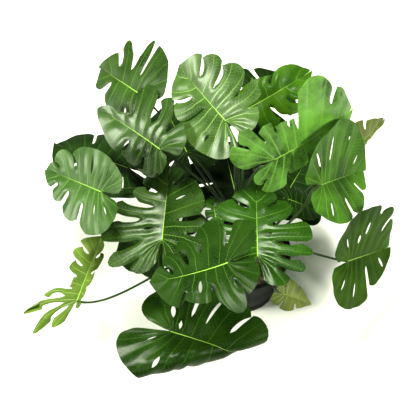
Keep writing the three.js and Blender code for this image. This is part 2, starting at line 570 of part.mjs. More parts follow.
// Thickens a sheet into a closed solid with the same triangles on both faces
function thickened({ points, thickness, faces }) {
  const normals = points.map(() => new THREE.Vector3());
  for (const [a, b, c] of faces) {
    const ab = new THREE.Vector3().subVectors(points[b], points[a]);
    const ac = new THREE.Vector3().subVectors(points[c], points[a]);
    const normal = ab.cross(ac);
    for (const i of [a, b, c]) {
      normals[i].add(normal);
    }
  }
  const positions = [];
  for (const face of [0.5, -0.5]) {
    points.forEach((p, i) => {
      const q = p.clone().addScaledVector(normals[i].clone().normalize(), thickness[i] * face);
      positions.push(q.x, q.y, q.z);
    });
  }
  const under = points.length;
  const index = [];
  const sides = new Map();
  for (const [a, b, c] of faces) {
    index.push(a, b, c, a + under, c + under, b + under);
    for (const [from, to] of [[a, b], [b, c], [c, a]]) {
      if (sides.has(`${to},${from}`)) {
        sides.delete(`${to},${from}`);
      } else {
        sides.set(`${from},${to}`, [from, to]);
      }
    }
  }
  for (const [from, to] of sides.values()) {
    index.push(from, from + under, to + under, from, to + under, to);
  }
  return closedGeometry(positions, index);
}

function closedGeometry(positions, index) {
  const geometry = new THREE.BufferGeometry();
  geometry.setAttribute('position', new THREE.Float32BufferAttribute(positions, 3));
  geometry.setIndex(index);
  return geometry;
}

// Makes a tube with closed ends along points, with a radius at each
function taperedTube(points, radii, sides) {
  const positions = [];
  const index = [];
  const last = points.length - 1;
  const tangents = points.map((p, i) => new THREE.Vector3()
    .subVectors(points[Math.min(i + 1, last)], points[Math.max(i - 1, 0)]).normalize());
  let across = new THREE.Vector3(1, 0, 0);
  if (Math.abs(tangents[0].x) > 0.8) {
    across = new THREE.Vector3(0, 1, 0);
  }
  points.forEach((p, i) => {
    const up = new THREE.Vector3().crossVectors(tangents[i], across).normalize();
    across = new THREE.Vector3().crossVectors(up, tangents[i]).normalize();
    for (let k = 0; k < sides; k += 1) {
      const angle = (2 * Math.PI * k) / sides;
      const q = p.clone()
        .addScaledVector(across, Math.cos(angle) * radii[i])
        .addScaledVector(up, Math.sin(angle) * radii[i]);
      positions.push(q.x, q.y, q.z);
    }
  });
  for (let i = 0; i < last; i += 1) {
    for (let k = 0; k < sides; k += 1) {
      const a = i * sides + k;
      const b = i * sides + ((k + 1) % sides);
      index.push(a, b, b + sides, a, b + sides, a + sides);
    }
  }
  for (let k = 1; k < sides - 1; k += 1) {
    index.push(0, k + 1, k);
    index.push(last * sides, last * sides + k, last * sides + k + 1);
  }
  return closedGeometry(positions, index);
}

// Turns a closed geometry into a solid that can be joined and cut, and back
function solid(source) {
  const geometry = source.clone();
  geometry.deleteAttribute('normal');
  geometry.deleteAttribute('uv');
  const merged = mergeVertices(geometry, 1e-4);
  return new wasm.Manifold(new wasm.Mesh({
    numProp: 3,
    vertProperties: new Float32Array(merged.attributes.position.array),
    triVerts: new Uint32Array(merged.index.array),
  }));
}

function geometryOf(manifold) {
  const mesh = manifold.getMesh();
  const geometry = closedGeometry(Array.from(mesh.vertProperties), Array.from(mesh.triVerts));
  geometry.computeVertexNormals();
  return geometry;
}

// Keeps the main piece of a solid and drops slivers that joining leaves
function largestPiece(manifold) {
  return manifold.decompose().reduce((best, piece) => (
    piece.volume() > best.volume() ? piece : best));
}

// Makes one short stem, or with a margin the room that it takes
function stemSolid(stem, margin = 0) {
  const bottom = SOIL_TOP - STEM_DEPTH - margin;
  const top = SOIL_TOP + stem.height + margin;
  const r = stem.radius + margin;
  const profile = [
    [0, bottom],
    [r * 0.6, bottom],
    [r * 0.92, bottom + 10],
    [r, SOIL_TOP + 8],
    [r * 0.86, top - 26],
    [r * 0.62, top - 8],
    [r * 0.3, top],
    [0, top],
  ].map(([x, y]) => new THREE.Vector2(x, y));
  const geometry = new THREE.LatheGeometry(profile, STEM_SIDES);
  geometry.rotateX(Math.PI / 2);
  const [leanX, leanY] = stem.lean;
  const shear = new THREE.Matrix4().set(
    1, 0, leanX, stem.x - leanX * SOIL_TOP,
    0, 1, leanY, stem.y - leanY * SOIL_TOP,
    0, 0, 1, 0,
    0, 0, 0, 1,
  );
  geometry.applyMatrix4(shear);
  return solid(geometry);
}

// Gives the point on a stem's middle line at a height over the soil
function onStem(stem, up) {
  return new THREE.Vector3(stem.x + stem.lean[0] * up, stem.y + stem.lean[1] * up, SOIL_TOP + up);
}

// Gives the stalk's middle line, from inside its stem to the blade's notch
function stalkLine(leaf, matrix) {
  const start = onStem(STEMS[leaf.stem], leaf.up);
  const end = new THREE.Vector3(...leaf.base);
  const span = new THREE.Vector3().subVectors(end, start);
  const reach = span.length();
  const outward = new THREE.Vector3(span.x, span.y, 0).normalize();
  const rise = leaf.rise ?? 0.9;
  const leave = outward.multiplyScalar(1 - rise * 0.6).add(new THREE.Vector3(0, 0, rise)).normalize();
  const along = new THREE.Vector3().setFromMatrixColumn(matrix, 0);
  const face = new THREE.Vector3().setFromMatrixColumn(matrix, 2);
  const arrive = span.clone().normalize().addScaledVector(along, 0.55).addScaledVector(face, 0.35);
  arrive.normalize();
  if (leaf.via) {
    return new THREE.CatmullRomCurve3([
      start,
      start.clone().addScaledVector(leave, reach * 0.12),
      ...leaf.via.map((p) => new THREE.Vector3(...p)),
      end.clone().addScaledVector(arrive, -28),
      end,
    ], false, 'centripetal');
  }
  return new THREE.CubicBezierCurve3(
    start,
    start.clone().addScaledVector(leave, reach * 0.36),
    end.clone().addScaledVector(arrive, -reach * 0.3),
    end,
  );
}

// Makes a leaf: stalk and blade as one solid, cut clear of its stem
function leafSolid(leaf) {
  const matrix = leafMatrix(leaf);
  const size = leaf.length < 150 ? 0.7 : 1;
  const line = stalkLine(leaf, matrix);
  const stalkPoints = line.getSpacedPoints(STALK_STEPS);
  const stalkRadii = stalkPoints.map((p, i) => {
    const along = i / STALK_STEPS;
    const plain = STALK_RADIUS + (STALK_TIP_RADIUS - STALK_RADIUS) * along;
    return size * (i >= STALK_STEPS - 1 ? KNEE_RADIUS : plain);
  });
  const stalk = solid(taperedTube(stalkPoints, stalkRadii, STALK_SIDES));
  const blade = solid(thickened(bladeSheet(leaf)).applyMatrix4(matrix));
  const whole = stalk.add(blade);
  return largestPiece(whole.subtract(stemSolid(STEMS[leaf.stem], GAP)));
}

// Gives the pot's outer and inner radius at a height
function potRadius(z) {
  return POT_BASE_RADIUS + ((POT_TOP_RADIUS - POT_BASE_RADIUS) * z) / POT_HEIGHT;
}

// Makes the pot: a tapered wall with a thicker rim band and a plain base
function potGeometry() {
  const rimFoot = POT_HEIGHT - RIM_HEIGHT;
  const profile = [
    [0, 0],
    [POT_BASE_RADIUS - 2, 0],
    [POT_BASE_RADIUS, 2],
    [potRadius(rimFoot), rimFoot],
    [potRadius(rimFoot) + RIM_OVERHANG, rimFoot + 2],
    [POT_TOP_RADIUS + RIM_OVERHANG, POT_HEIGHT - 2],
    [POT_TOP_RADIUS + RIM_OVERHANG - 2, POT_HEIGHT],
    [POT_TOP_RADIUS - POT_WALL, POT_HEIGHT],
    [potRadius(POT_WALL) - POT_WALL, POT_WALL],
    [0, POT_WALL],
  ].map(([x, y]) => new THREE.Vector2(x, y));
  return new THREE.LatheGeometry(profile, POT_SIDES).rotateX(Math.PI / 2);
}

// Makes the soil: it fills the pot to just under the rim, with a hole for each stem
function soilSolid() {
  const wallAt = (z) => potRadius(z) - POT_WALL - GAP;
  const bottom = POT_WALL + GAP;
  const profile = [
    [0, bottom],
    [wallAt(bottom), bottom],
    [wallAt(SOIL_TOP - 3), SOIL_TOP - 3],
    [wallAt(SOIL_TOP) - 12, SOIL_TOP - 1],
    [70, SOIL_TOP + SOIL_MOUND - 2],
    [30, SOIL_TOP + SOIL_MOUND],
    [0, SOIL_TOP + SOIL_MOUND],
  ].map(([x, y]) => new THREE.Vector2(x, y));
  let soil = solid(new THREE.LatheGeometry(profile, POT_SIDES).rotateX(Math.PI / 2));
  for (const stem of Object.values(STEMS)) {
    soil = soil.subtract(stemSolid(stem, GAP));
  }
  return soil;
}

const FINISH = {
  pot: { color: 0x16181a, roughness: 0.45, metalness: 0 },
  soil: { color: 0x3a2a1e, roughness: 0.95, metalness: 0 },
  stem: { color: 0x5c6b3a, roughness: 0.7, metalness: 0 },
  leaf: { color: 0x3f7a2a, roughness: 0.35, metalness: 0 },
  pale: { color: 0xa8c24e, roughness: 0.45, metalness: 0 },
  olive: { color: 0x8f9a4c, roughness: 0.5, metalness: 0 },
};

const plant = new THREE.Group();

function place(name, geometry, finish) {
  const mesh = new THREE.Mesh(geometry, new THREE.MeshStandardMaterial(FINISH[finish]));
  mesh.name = name;
  plant.add(mesh);
}

place('pot', potGeometry(), 'pot');
place('soil', geometryOf(soilSolid()), 'soil');
for (const [name, stem] of Object.entries(STEMS)) {
  place(`stem_${name}`, geometryOf(stemSolid(stem)), 'stem');
}
for (const leaf of LEAVES) {
  place(leaf.name, geometryOf(leafSolid(leaf)), leaf.finish ?? 'leaf');
}

export default plant;
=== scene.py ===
# The look of a potted swiss cheese plant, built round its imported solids: every leaf gets a fine
# curved blade with veins, a midrib and a round stalk, and the stems, soil and pot get their detail.
# Lengths are written in millimetres and turned into metres where meshes are made.
import math
import random
from collections import namedtuple

import bmesh
import bpy
from mathutils import Matrix, Vector, noise


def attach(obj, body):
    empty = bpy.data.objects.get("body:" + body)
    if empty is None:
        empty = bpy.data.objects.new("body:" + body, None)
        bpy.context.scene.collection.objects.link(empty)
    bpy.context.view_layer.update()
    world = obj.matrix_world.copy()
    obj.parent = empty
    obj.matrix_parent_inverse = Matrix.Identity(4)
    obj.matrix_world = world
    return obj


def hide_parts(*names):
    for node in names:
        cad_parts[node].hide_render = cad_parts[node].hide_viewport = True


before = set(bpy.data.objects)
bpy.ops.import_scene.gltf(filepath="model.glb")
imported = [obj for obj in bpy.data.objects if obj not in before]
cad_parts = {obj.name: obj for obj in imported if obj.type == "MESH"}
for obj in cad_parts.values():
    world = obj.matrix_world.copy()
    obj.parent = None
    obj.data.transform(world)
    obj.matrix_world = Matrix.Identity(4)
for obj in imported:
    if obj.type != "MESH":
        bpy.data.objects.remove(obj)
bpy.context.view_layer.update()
scene = bpy.context.scene
MM = 0.001
RAD = math.pi / 180
LEFT, RIGHT = 0, 1

# Pot
POT_HEIGHT = 200
POT_TOP_RADIUS = 126
POT_BASE_RADIUS = 97
POT_WALL = 3
RIM_HEIGHT = 22
RIM_OVERHANG = 5
FOOT_WIDTH = 11
CORNER = 2.4
GROOVE_HEIGHT = 41.5
GROOVE_DEPTH = 0.6
POT_STEPS = 96

# Soil, with bark chips and perlite on it
SOIL_TOP = 178
SOIL_MOUND = 6
SOIL_CLEARANCE = 0.6
SOIL_RINGS = 32
SOIL_STEPS = 120
LUMP_HEIGHT = 2.2
CHIP_COUNT = 520
CHIP_SIZES = (1.6, 5.5)
PERLITE_SHARE = 0.16

# Stems: middle of the foot, radius, height above the soil, and lean along x and y
STEM_DEPTH = 85
STEM_RINGS = 60
STEM_STEPS = 40
SCAR_SPACING = 17
SCAR_DEPTH = 0.9
STEMS = {
    "left": dict(x=-46, y=-4, radius=15, height=92, lean=(-0.16, -0.03)),
    "back": dict(x=-8, y=46, radius=14, height=112, lean=(-0.08, 0.12)),
    "right": dict(x=44, y=6, radius=14, height=100, lean=(0.14, 0.04)),
    "front": dict(x=2, y=-44, radius=13, height=84, lean=(0.02, -0.14)),
}

# Stalks
STALK_RADIUS = 4.2
STALK_TIP_RADIUS = 2.8
KNEE_RADIUS = 3.5
KNEE_LENGTH = 26
KNEE_BLEND = 8
SHEATH_RADIUS = 6.5
SHEATH_START = 10
SHEATH_LENGTH = 55
STALK_RISE = 0.9
STALK_STEPS = 44
STALK_SIDES = 12
PATH_STEPS = 120

# Blades and veins: sizes are those of a blade 230 long, and smaller on a young leaf
BLADE = 0.9
GROWN_LENGTH = 230
YOUNG_LENGTH = 150
YOUNG_SIZE = 0.7
MIDRIB_BASE = 2.3
MIDRIB_TIP = 0.6
MIDRIB_SHARE = 0.975
MIDRIB_STEPS = 30
MIDRIB_SIDES = 8
VEIN_BASE = 1
VEIN_TIP = 0.3
VEIN_SIDES = 5
VEIN_SPACING = 0.13
ROWS = 26
SECTOR_COLUMNS = 6
QUILT = 3
SLOW_WAVE = 5
QUICK_WAVE = 2.2

# Side veins leave the midrib from this share of the way on, up to that one, ever further apart,
# and bend towards the tip at a point given by its shares of the way along and out
RAY_START = 0.22
RAY_END = 0.86
RAY_POWER = 1.7
RAY_BEND = (0.38, 0.55)

# A curl is spread over this share of the midrib's length, and a slot's inner end is round
CURL_SPAN = 0.6
SLOT_ROUND = 0.18
HOLE_POWER = 0.6
PLAIN = [1, 0, 0, 0.11]
LOBE_ROOT = 0.12
SHORTEST_LOBE = 0.04
TIP_HOLD = 0.88

# Outline of half a blade, as radius over midrib length at angles from the tip round to the notch
OUTLINE_ANGLE = [0, 8, 22, 45, 70, 95, 120, 145, 165, 180]
OUTLINE_RADIUS = [1.0, 0.94, 0.88, 0.765, 0.67, 0.61, 0.565, 0.49, 0.36, 0.12]
NOTCH_ANGLE = 8

# Each leaf: how far up its stem the stalk starts, where the stalk meets the blade, and for some the
# points that it passes or how steeply it rises; the way the midrib points (heading, pitch, roll in
# degrees), midrib length, width of its left and right halves, droop along the midrib, and for each
# half the fold up from the midrib and the curl down of its margin. One leaf has a crease, one a
# twist along its midrib, and three a finish entry that the script does not read. A cut between two lobes is
# [place from notch 0 to tip 1, inner end, outer end, width at inner end, width at margin]; it is a
# slot where its outer end is 1, and a hole where it is less. Lobes between two slots, counted from
# the notch, may have a shape: [reach, dip of the end, sway to the tip, rounding].
FILL_CUTS = [[0.35, 0.35, 1, 7, 11], [0.6, 0.35, 1, 8, 13], [0.8, 0.35, 1, 7, 12]]
FILL_LOBES = [[0.55, 0, 0, 0.2], [0.9, 0, 0, 0.2]]
WIDE_CUTS = [[0.4, 0.3, 1, 8, 20], [0.62, 0.3, 1, 8, 24], [0.82, 0.3, 1, 8, 18]]
LEAVES = [
    dict(name="leaf_left", stem="left", up=60, base=[-386, 11, 465], heading=141.5, pitch=-19,
         roll=-46, length=214, wide=[0.93, 0.86], droop=-8, fold=[12, 16], curl=[15, 17],
         via=[[-150, 64, 310], [-308, 88, 372], [-360, 48, 418]],
         rise=1,
         left=[
           [0.2, 0.45, 0.7, 5], [0.4, 0.3, 0.55, 4], [0.6, 0.34, 1, 7, 14], [0.78, 0.3, 1, 9, 16],
           [0.9, 0.4, 1, 7, 11],
         ],
         right=[
           [0.33, 0.5, 0.75, 4], [0.55, 0.3, 0.8, 9], [0.76, 0.32, 1, 8, 12],
           [0.92, 0.4, 1, 6, 19],
         ],
         lobes=[
           [[0.96, 0, 0, 0.2], [0.9, 0, 0, 0.2], [0.85, 0, 0, 0.25], [0.9, 0, 0, 0.11]],
           [[0.9, 0, 0.03, 0.2], [1.03, 0, 0.03, 0.2], [1.1, 0, 0, 0.11]],
         ]),
    dict(name="leaf_upper_left", stem="back", up=58, base=[-234, 121, 505], heading=131, pitch=-11,
         roll=-52, length=250, wide=[1, 0.91], droop=-15, fold=[8, 6], curl=[30, 30], rise=1,
         left=[[0.3, 0.45, 1, 6, 9], [0.54, 0.25, 1, 8, 16], [0.74, 0.2, 1, 9, 29]],
         right=[[0.4, 0.35, 1, 10, 36], [0.6, 0.3, 1, 24, 44], [0.8, 0.3, 1, 10, 30]],
         lobes=[
           [[0.5, 0, 0, 0.11], [0.55, 0, 0.06, 0.15], [0.55, 0, 0.04, 0.2], [0.72, 0, 0, 0.3]],
           [[0.82, 0, 0, 0.11], [0.92, 0, 0.06, 0.2], [1.05, 0, 0.01, 0.2], [0.34, 0, 0, 0.11]],
         ]),
    dict(name="leaf_top_left", stem="back", up=33, base=[-291, 293, 530], heading=129, pitch=-16,
         roll=-46, length=218, wide=[0.95, 1.03], droop=0, fold=[9, 9], curl=[45, 15],
         left=[[0.3, 0.5, 1, 6, 9], [0.56, 0.4, 1, 8, 14], [0.86, 0.2, 1, 9, 30]],
         right=[[0.52, 0.28, 1, 6, 12], [0.67, 0.3, 1, 8, 44], [0.82, 0.34, 1, 12, 32]],
         lobes=[
           [[0.5, 0, 0, 0.11], [0.58, 0, 0, 0.11], [0.85, 0, 0, 0.3], [1.25, 0, 0, 0.3]],
           [[1.02, 0, 0, 0], [1.06, 0, 0, 0.3], [1.02, 0, 0.02, 0.2], [0.85, 0, 0, 0.11]],
         ]),
    dict(name="leaf_top_middle", stem="back", up=98, base=[-62, 124, 615], heading=130, pitch=12,
         roll=-50, length=205, wide=[0.92, 1.03], droop=6, fold=[12, 14], curl=[15, 28],
         left=[
           [0.12, 0.5, 0.75, 8], [0.44, 0.5, 0.7, 8], [0.66, 0.14, 1, 5, 9], [0.8, 0.28, 1, 7, 14],
         ],
         right=[
           [0.34, 0.6, 1, 6, 12], [0.5, 0.42, 1, 6, 8], [0.7, 0.28, 1, 6, 15],
           [0.845, 0.36, 1, 9, 19],
         ],
         lobes=[
           [[0.92, 0, 0.04, 0.11], [0.92, 0, 0.03, 0.11], [1.05, 0, 0.02, 0.11]],
           [[0.9, 0, 0, 0.11], [0.97, 0, 0.05, 0], [1, 0, 0.045, 0.2], [1.03, 0, 0.03, 0.11],
            [1.15, 0, 0, 0.11]],
         ]),
    dict(name="leaf_upper_right", stem="back", up=80, base=[58, 30, 575], heading=30, pitch=4,
         roll=56, length=292, wide=[1.08, 0.64], droop=24, fold=[18, -10], curl=[0, 0],
         via=[[4, 84, 400], [26, 76, 480]],
         left=[
           [0.2, 0.55, 1, 8, 12], [0.34, 0.36, 1, 6, 8], [0.46, 0.36, 1, 5, 7],
           [0.56, 0.34, 1, 5, 8], [0.62, 0.25, 1, 8, 20], [0.85, 0.5, 1, 12, 20],
         ],
         right=[
           [0.3, 0.45, 1, 7, 12], [0.5, 0.4, 1, 6, 9], [0.7, 0.4, 1, 6, 9], [0.86, 0.4, 1, 8, 12],
         ],
         lobes=[
           [[0.95, 0, 0, 0.11], [0.85, 0, 0, 0.2], [0.6, 0, 0, 0.2], [0.48, 0, 0, 0.2],
            [0.45, 0, 0, 0.2], [1, 0, 0, 0.2], PLAIN],
           [[0.62, 0, 0, 0.11], [0.8, 0, 0, 0.15], [0.5, 0, 0, 0.15], [0.45, 0, 0, 0.15],
            [0.8, 0, 0, 0.11]],
         ]),
    dict(name="leaf_top_right", stem="back", up=44, base=[0, 280, 485], heading=30, pitch=8, roll=48,
         length=240, wide=[0.66, 0.62], droop=18, fold=[6, 6], curl=[16, 22],
         left=[[0.35, 0.3, 1, 6, 12], [0.7, 0.3, 1, 8, 36]],
         right=[[0.45, 0.2, 1, 5, 20], [0.63, 0.2, 1, 9, 20], [0.77, 0.3, 1, 6, 23]],
         lobes=[
           [[0.5, 0, 0, 0.2], [0.62, 0, 0.06, 0.3], [0.86, 0, 0.04, 0.2]],
           [[0.6, 0, 0.02, 0.2], [0.95, 0, 0.04, 0.2], [1.02, 0, 0.06, 0.15], [0.9, 0, 0.02, 0.2]],
         ]),
    dict(name="leaf_right", stem="right", up=62, base=[190, 30, 470], heading=46, pitch=-32, roll=46,
         length=230, wide=[1.12, 0.86], droop=-6, fold=[24, 24], curl=[-9, 17],
         via=[[100, -10, 330], [148, 6, 408]],
         left=[[0.24, 0.3, 0.9, 7], [0.46, 0.35, 0.8, 9], [0.71, 0.35, 0.9, 8], [0.87, 0.3, 0.6, 5]],
         right=[[0.36, 0.4, 0.85, 7], [0.64, 0.42, 1, 9, 17], [0.86, 0.3, 1, 6, 9]],
         lobes=[[[1.08, 0, 0, 0.11]], [[0.95, 0, 0, 0.11], [1, 0, 0, 0.2], [1, 0, 0, 0.2]]]),
    dict(name="leaf_lower_right", stem="right", up=24, base=[275, -85, 275], heading=37, pitch=-30,
         roll=57, length=220, wide=[1.25, 1], droop=2, fold=[17, 14], curl=[-6, 14],
         left=[
           [0.24, 0.4, 0.7, 5], [0.46, 0.3, 0.45, 10], [0.55, 0.42, 0.66, 10],
           [0.66, 0.8, 1, 7, 12], [0.8, 0.5, 1, 8, 14],
         ],
         right=[
           [0.25, 0.45, 0.75, 5], [0.48, 0.45, 0.75, 7], [0.69, 0.2, 1, 10, 16],
           [0.87, 0.24, 0.75, 10],
         ],
         lobes=[
           [[0.98, 0, 0, 0.2], [1.05, 0, 0.01, 0.12], PLAIN],
           [PLAIN, [0.8, 0, 0, 0.2], [0.9, 0, 0, 0.11]],
         ]),
    dict(name="leaf_middle_left", stem="left", up=40, base=[-227, -93, 395], heading=87, pitch=4,
         roll=-16, length=242, wide=[1.07, 0.9], droop=5, fold=[15, 15], curl=[10, 18],
         left=[
           [0.2, 0.62, 1, 7, 10], [0.38, 0.36, 1, 12, 28], [0.5, 0.15, 0.3, 9],
           [0.6, 0.36, 1, 12, 26], [0.72, 0.2, 1, 10, 18], [0.84, 0.24, 1, 9, 27],
         ],
         right=[
           [0.24, 0.4, 0.7, 5], [0.44, 0.5, 1, 7, 11], [0.57, 0.26, 1, 9, 21],
           [0.75, 0.25, 0.55, 6], [0.89, 0.22, 1, 9, 20],
         ],
         lobes=[
           [PLAIN, [1.07, 0, 0.02, 0.2], [1, 0, 0.02, 0.25], [0.95, 0, 0.03, 0.12],
            [0.78, 0, 0.03, 0.3], [0.95, 0, 0, 0.2]],
           [PLAIN, [0.9, 0, 0.02, 0.2], [0.9, 0, 0, 0.2], PLAIN],
         ]),
    dict(name="leaf_middle_right", stem="front", up=50, base=[16, -177, 450], heading=89, pitch=3,
         roll=-2, length=228, wide=[0.98, 0.95], droop=10, fold=[11, 8], curl=[27, 20],
         left=[
           [0.3, 0.4, 0.8, 6], [0.5, 0.3, 1, 7, 13], [0.7, 0.2, 1, 8, 14], [0.86, 0.22, 1, 8, 22],
         ],
         right=[
           [0.28, 0.48, 1, 8, 11], [0.41, 0.4, 1, 9, 13], [0.54, 0.32, 1, 10, 17],
           [0.62, 0.12, 0.25, 7], [0.71, 0.25, 1, 9, 18], [0.86, 0.3, 1, 7, 21],
         ],
         lobes=[
           [PLAIN, [1, 0, 0.05, 0.2], [1, 0, 0.03, 0.2], PLAIN],
           [[0.92, 0, 0, 0.11], [0.97, 0, 0.03, 0.2], [1.03, 0, 0.03, 0.25],
            [1.03, 0, 0.01, 0.12], [0.95, 0, 0.03, 0.25], [0.95, 0, 0, 0.2]],
         ]),
    dict(name="leaf_front_middle", stem="front", up=70, base=[-60, -235, 515], heading=181, pitch=-35,
         roll=-2, length=212, wide=[1.02, 0.97], droop=-22, fold=[5, 5], curl=[31, 8],
         via=[[-20, -125, 330], [10, -205, 418], [15, -234, 456]],
         left=[
           [0.33, 0.42, 1, 7, 12], [0.58, 0.3, 1, 8, 26], [0.68, 0.2, 0.44, 10],
           [0.8, 0.4, 1, 7, 12],
         ],
         right=[
           [0.4, 0.34, 1, 8, 12], [0.66, 0.36, 1, 8, 14], [0.78, 0.2, 1, 8, 21],
           [0.9, 0.16, 1, 6, 19],
         ],
         lobes=[
           [PLAIN, [1.02, 0, -0.03, 0.3], [0.62, 0, 0, 0.11], [0.9, 0, 0, 0.11]],
           [PLAIN, [1.02, 0, 0.05, 0.25], [1, 0, 0.06, 0.18], [1, 0, 0.03, 0.2],
            PLAIN],
         ]),
    dict(name="leaf_front_low", stem="left", up=22, base=[-205, -290, 260], heading=-22, pitch=8,
         roll=-12, length=270, wide=[1.03, 0.93], droop=4, fold=[8, 8], curl=[17, 19],
         crease=dict(at=112, turn=40, angle=150, radius=26),
         left=[
           [0.32, 0.28, 0.54, 12], [0.42, 0.1, 0.2, 10], [0.5, 0.34, 1, 8, 10],
           [0.63, 0.28, 0.85, 9], [0.79, 0.34, 1, 10, 22],
         ],
         right=[
           [0.24, 0.3, 0.5, 4], [0.46, 0.55, 0.72, 9], [0.66, 0.4, 1, 7, 11],
           [0.84, 0.35, 1, 7, 10],
         ],
         lobes=[[PLAIN, [1.08, 0, 0.03, 0.15], [1.15, 0, 0, 0.15]], [[1.05, 0, 0, 0.11]]]),
    dict(name="leaf_behind_left", stem="left", up=44, base=[-338, 194, 330], heading=156, pitch=1,
         roll=14, length=245, wide=[1, 1], droop=6, fold=[12, 9], curl=[22, 34],
         left=[[0.35, 0.4, 0.8, 6], [0.58, 0.3, 1, 8, 12], [0.78, 0.3, 1, 8, 12]],
         right=[[0.35, 0.4, 0.8, 6], [0.6, 0.35, 1, 6, 9], [0.8, 0.4, 1, 6, 9]]),
    dict(name="leaf_young_pale", stem="left", up=32, base=[-462, -187, 235], heading=72, pitch=16,
         roll=30, length=190, wide=[1.3, 0.42], droop=-10, fold=[0, 10], curl=[30, 20],
         finish="pale",
         left=[
           [0.12, 0.3, 1, 8, 14], [0.24, 0.3, 1, 9, 30], [0.38, 0.25, 1, 12, 34],
           [0.5, 0.15, 1, 6, 10], [0.66, 0.15, 1, 6, 10], [0.78, 0.15, 1, 6, 21],
           [0.89, 0.2, 1, 6, 19],
         ],
         right=[
           [0.4, 0.2, 1, 8, 16], [0.58, 0.2, 1, 8, 22], [0.74, 0.2, 1, 7, 25],
           [0.88, 0.2, 1, 6, 19],
         ],
         lobes=[
           [[1.2, 10, 0, 0.3], [1.4, 15, -0.04, 0.3], [1.22, -30, -0.04, 0.3],
            [0.62, 0, -0.08, 0.3], [0.17, 0, 0, 0.1], [0.36, 0, 0.03, 0.2], [0.58, 0, 0.02, 0.2],
            [0.85, 0, 0, 0.11]],
           [[0.3, 0, 0, 0.2], [0.25, 0, 0.05, 0.2], [0.4, 0, 0.05, 0.3], [0.9, 10, 0.04, 0.3],
            [1, 0, 0, 0.2]],
         ]),
    dict(name="leaf_young_olive", stem="front", up=14, base=[98, -153, 215], heading=-16, pitch=-12,
         roll=20, length=88, wide=[1, 1], droop=14, fold=[20, 25], curl=[40, 70], twist=-50,
         via=[[60, -90, 232]],
         finish="olive",
         left=[[0.4, 0.35, 1, 4, 8], [0.7, 0.35, 1, 4, 7]],
         right=[[0.45, 0.35, 1, 4, 7], [0.72, 0.35, 1, 4, 7]],
         lobes=[
           [[0.6, 0, 0, 0.2], [0.85, 0, 0, 0.1], [0.95, 0, 0, 0.1]],
           [[0.8, 0, 0, 0.2], [0.8, 0, 0, 0.1], [0.7, 0, 0, 0.1]],
         ]),
    dict(name="leaf_right_back", stem="right", up=52, base=[295, 190, 416], heading=44, pitch=5,
         roll=60, length=150, wide=[0.8, 0.7], droop=8, fold=[10, 6], curl=[20, 30], rise=0.7,
         finish="olive",
         left=[[0.45, 0.35, 1, 6, 10], [0.72, 0.35, 1, 6, 10]],
         right=[[0.45, 0.2, 1, 6, 10], [0.72, 0.2, 1, 6, 10]],
         lobes=[
           [PLAIN, [0.9, 0, 0, 0.11], [0.72, 0, 0.02, 0]],
           [[0.4, 0, 0, 0.1], [0.25, 0, 0, 0.1], [0.22, 0, 0, 0.1]],
         ]),
    dict(name="leaf_small_dark", stem="right", up=92, base=[112, 52, 374], heading=-6, pitch=-22,
         roll=-2, length=108, wide=[0.9, 0.85], droop=12, fold=[8, 10], curl=[34, 22],
         left=[[0.5, 0.35, 1, 5, 8]],
         right=[[0.5, 0.35, 1, 5, 8]]),
    dict(name="leaf_small_bright", stem="left", up=82, base=[-87, -8, 376], heading=100, pitch=6,
         roll=0, length=70, wide=[0.62, 0.62], droop=10, fold=[12, 12], curl=[20, 20],
         left=[[0.4, 0.35, 1, 5, 9], [0.68, 0.3, 1, 5, 9]],
         right=[[0.4, 0.35, 1, 5, 9], [0.68, 0.3, 1, 5, 9]]),
    dict(name="leaf_inner_left", stem="back", up=4, base=[-168, 225, 365], heading=112, pitch=0,
         roll=-20, length=210, wide=[1, 0.9], droop=12, fold=[10, 10], curl=[20, 20],
         left=FILL_CUTS, right=FILL_CUTS),
    dict(name="leaf_inner_right", stem="right", up=31, base=[100, 100, 285], heading=62, pitch=0,
         roll=10, length=215, wide=[1, 1], droop=12, fold=[10, 10], curl=[20, 20],
         left=FILL_CUTS, right=FILL_CUTS,
         lobes=[FILL_LOBES, FILL_LOBES]),
    dict(name="leaf_low_left", stem="left", up=8, base=[-190, -20, 285], heading=190, pitch=-8,
         roll=0, length=185, wide=[1, 1], droop=12, fold=[10, 10], curl=[20, 20],
         left=FILL_CUTS, right=FILL_CUTS),
    dict(name="leaf_low_back", stem="back", up=10, base=[-25, 150, 250], heading=99, pitch=-3, roll=0,
         length=235, wide=[1.05, 1.05], droop=10, fold=[10, 10], curl=[20, 20],
         left=FILL_CUTS, right=FILL_CUTS,
         lobes=[FILL_LOBES, FILL_LOBES]),
    dict(name="leaf_far_back", stem="back", up=24, base=[12, 335, 405], heading=58, pitch=2, roll=12,
         length=205, wide=[1, 0.9], droop=10, fold=[10, 10], curl=[20, 20],
         left=WIDE_CUTS, right=WIDE_CUTS),
]


def between(a, b, u):
    return a + (b - a) * u


def smoothstep(x, lo, hi):
    u = min(max((x - lo) / (hi - lo), 0), 1)
    return u * u * (3 - 2 * u)


# Shape of a blade

def outline_radius(angle):
    """Outline radius at an angle, by a smooth curve through the table."""
    last = len(OUTLINE_ANGLE) - 1
    a = min(max(angle, 0), 180)
    i = 0
    while i < last - 1 and a > OUTLINE_ANGLE[i + 1]:
        i += 1

    def slope(k):
        lo, hi = max(k - 1, 0), min(k + 1, last)
        return (OUTLINE_RADIUS[hi] - OUTLINE_RADIUS[lo]) / (OUTLINE_ANGLE[hi] - OUTLINE_ANGLE[lo])

    h = OUTLINE_ANGLE[i + 1] - OUTLINE_ANGLE[i]
    t = (a - OUTLINE_ANGLE[i]) / h
    t2, t3 = t * t, t ** 3
    return ((2 * t3 - 3 * t2 + 1) * OUTLINE_RADIUS[i] + (t3 - 2 * t2 + t) * h * slope(i)
            + (3 * t2 - 2 * t3) * OUTLINE_RADIUS[i + 1] + (t3 - t2) * h * slope(i + 1))


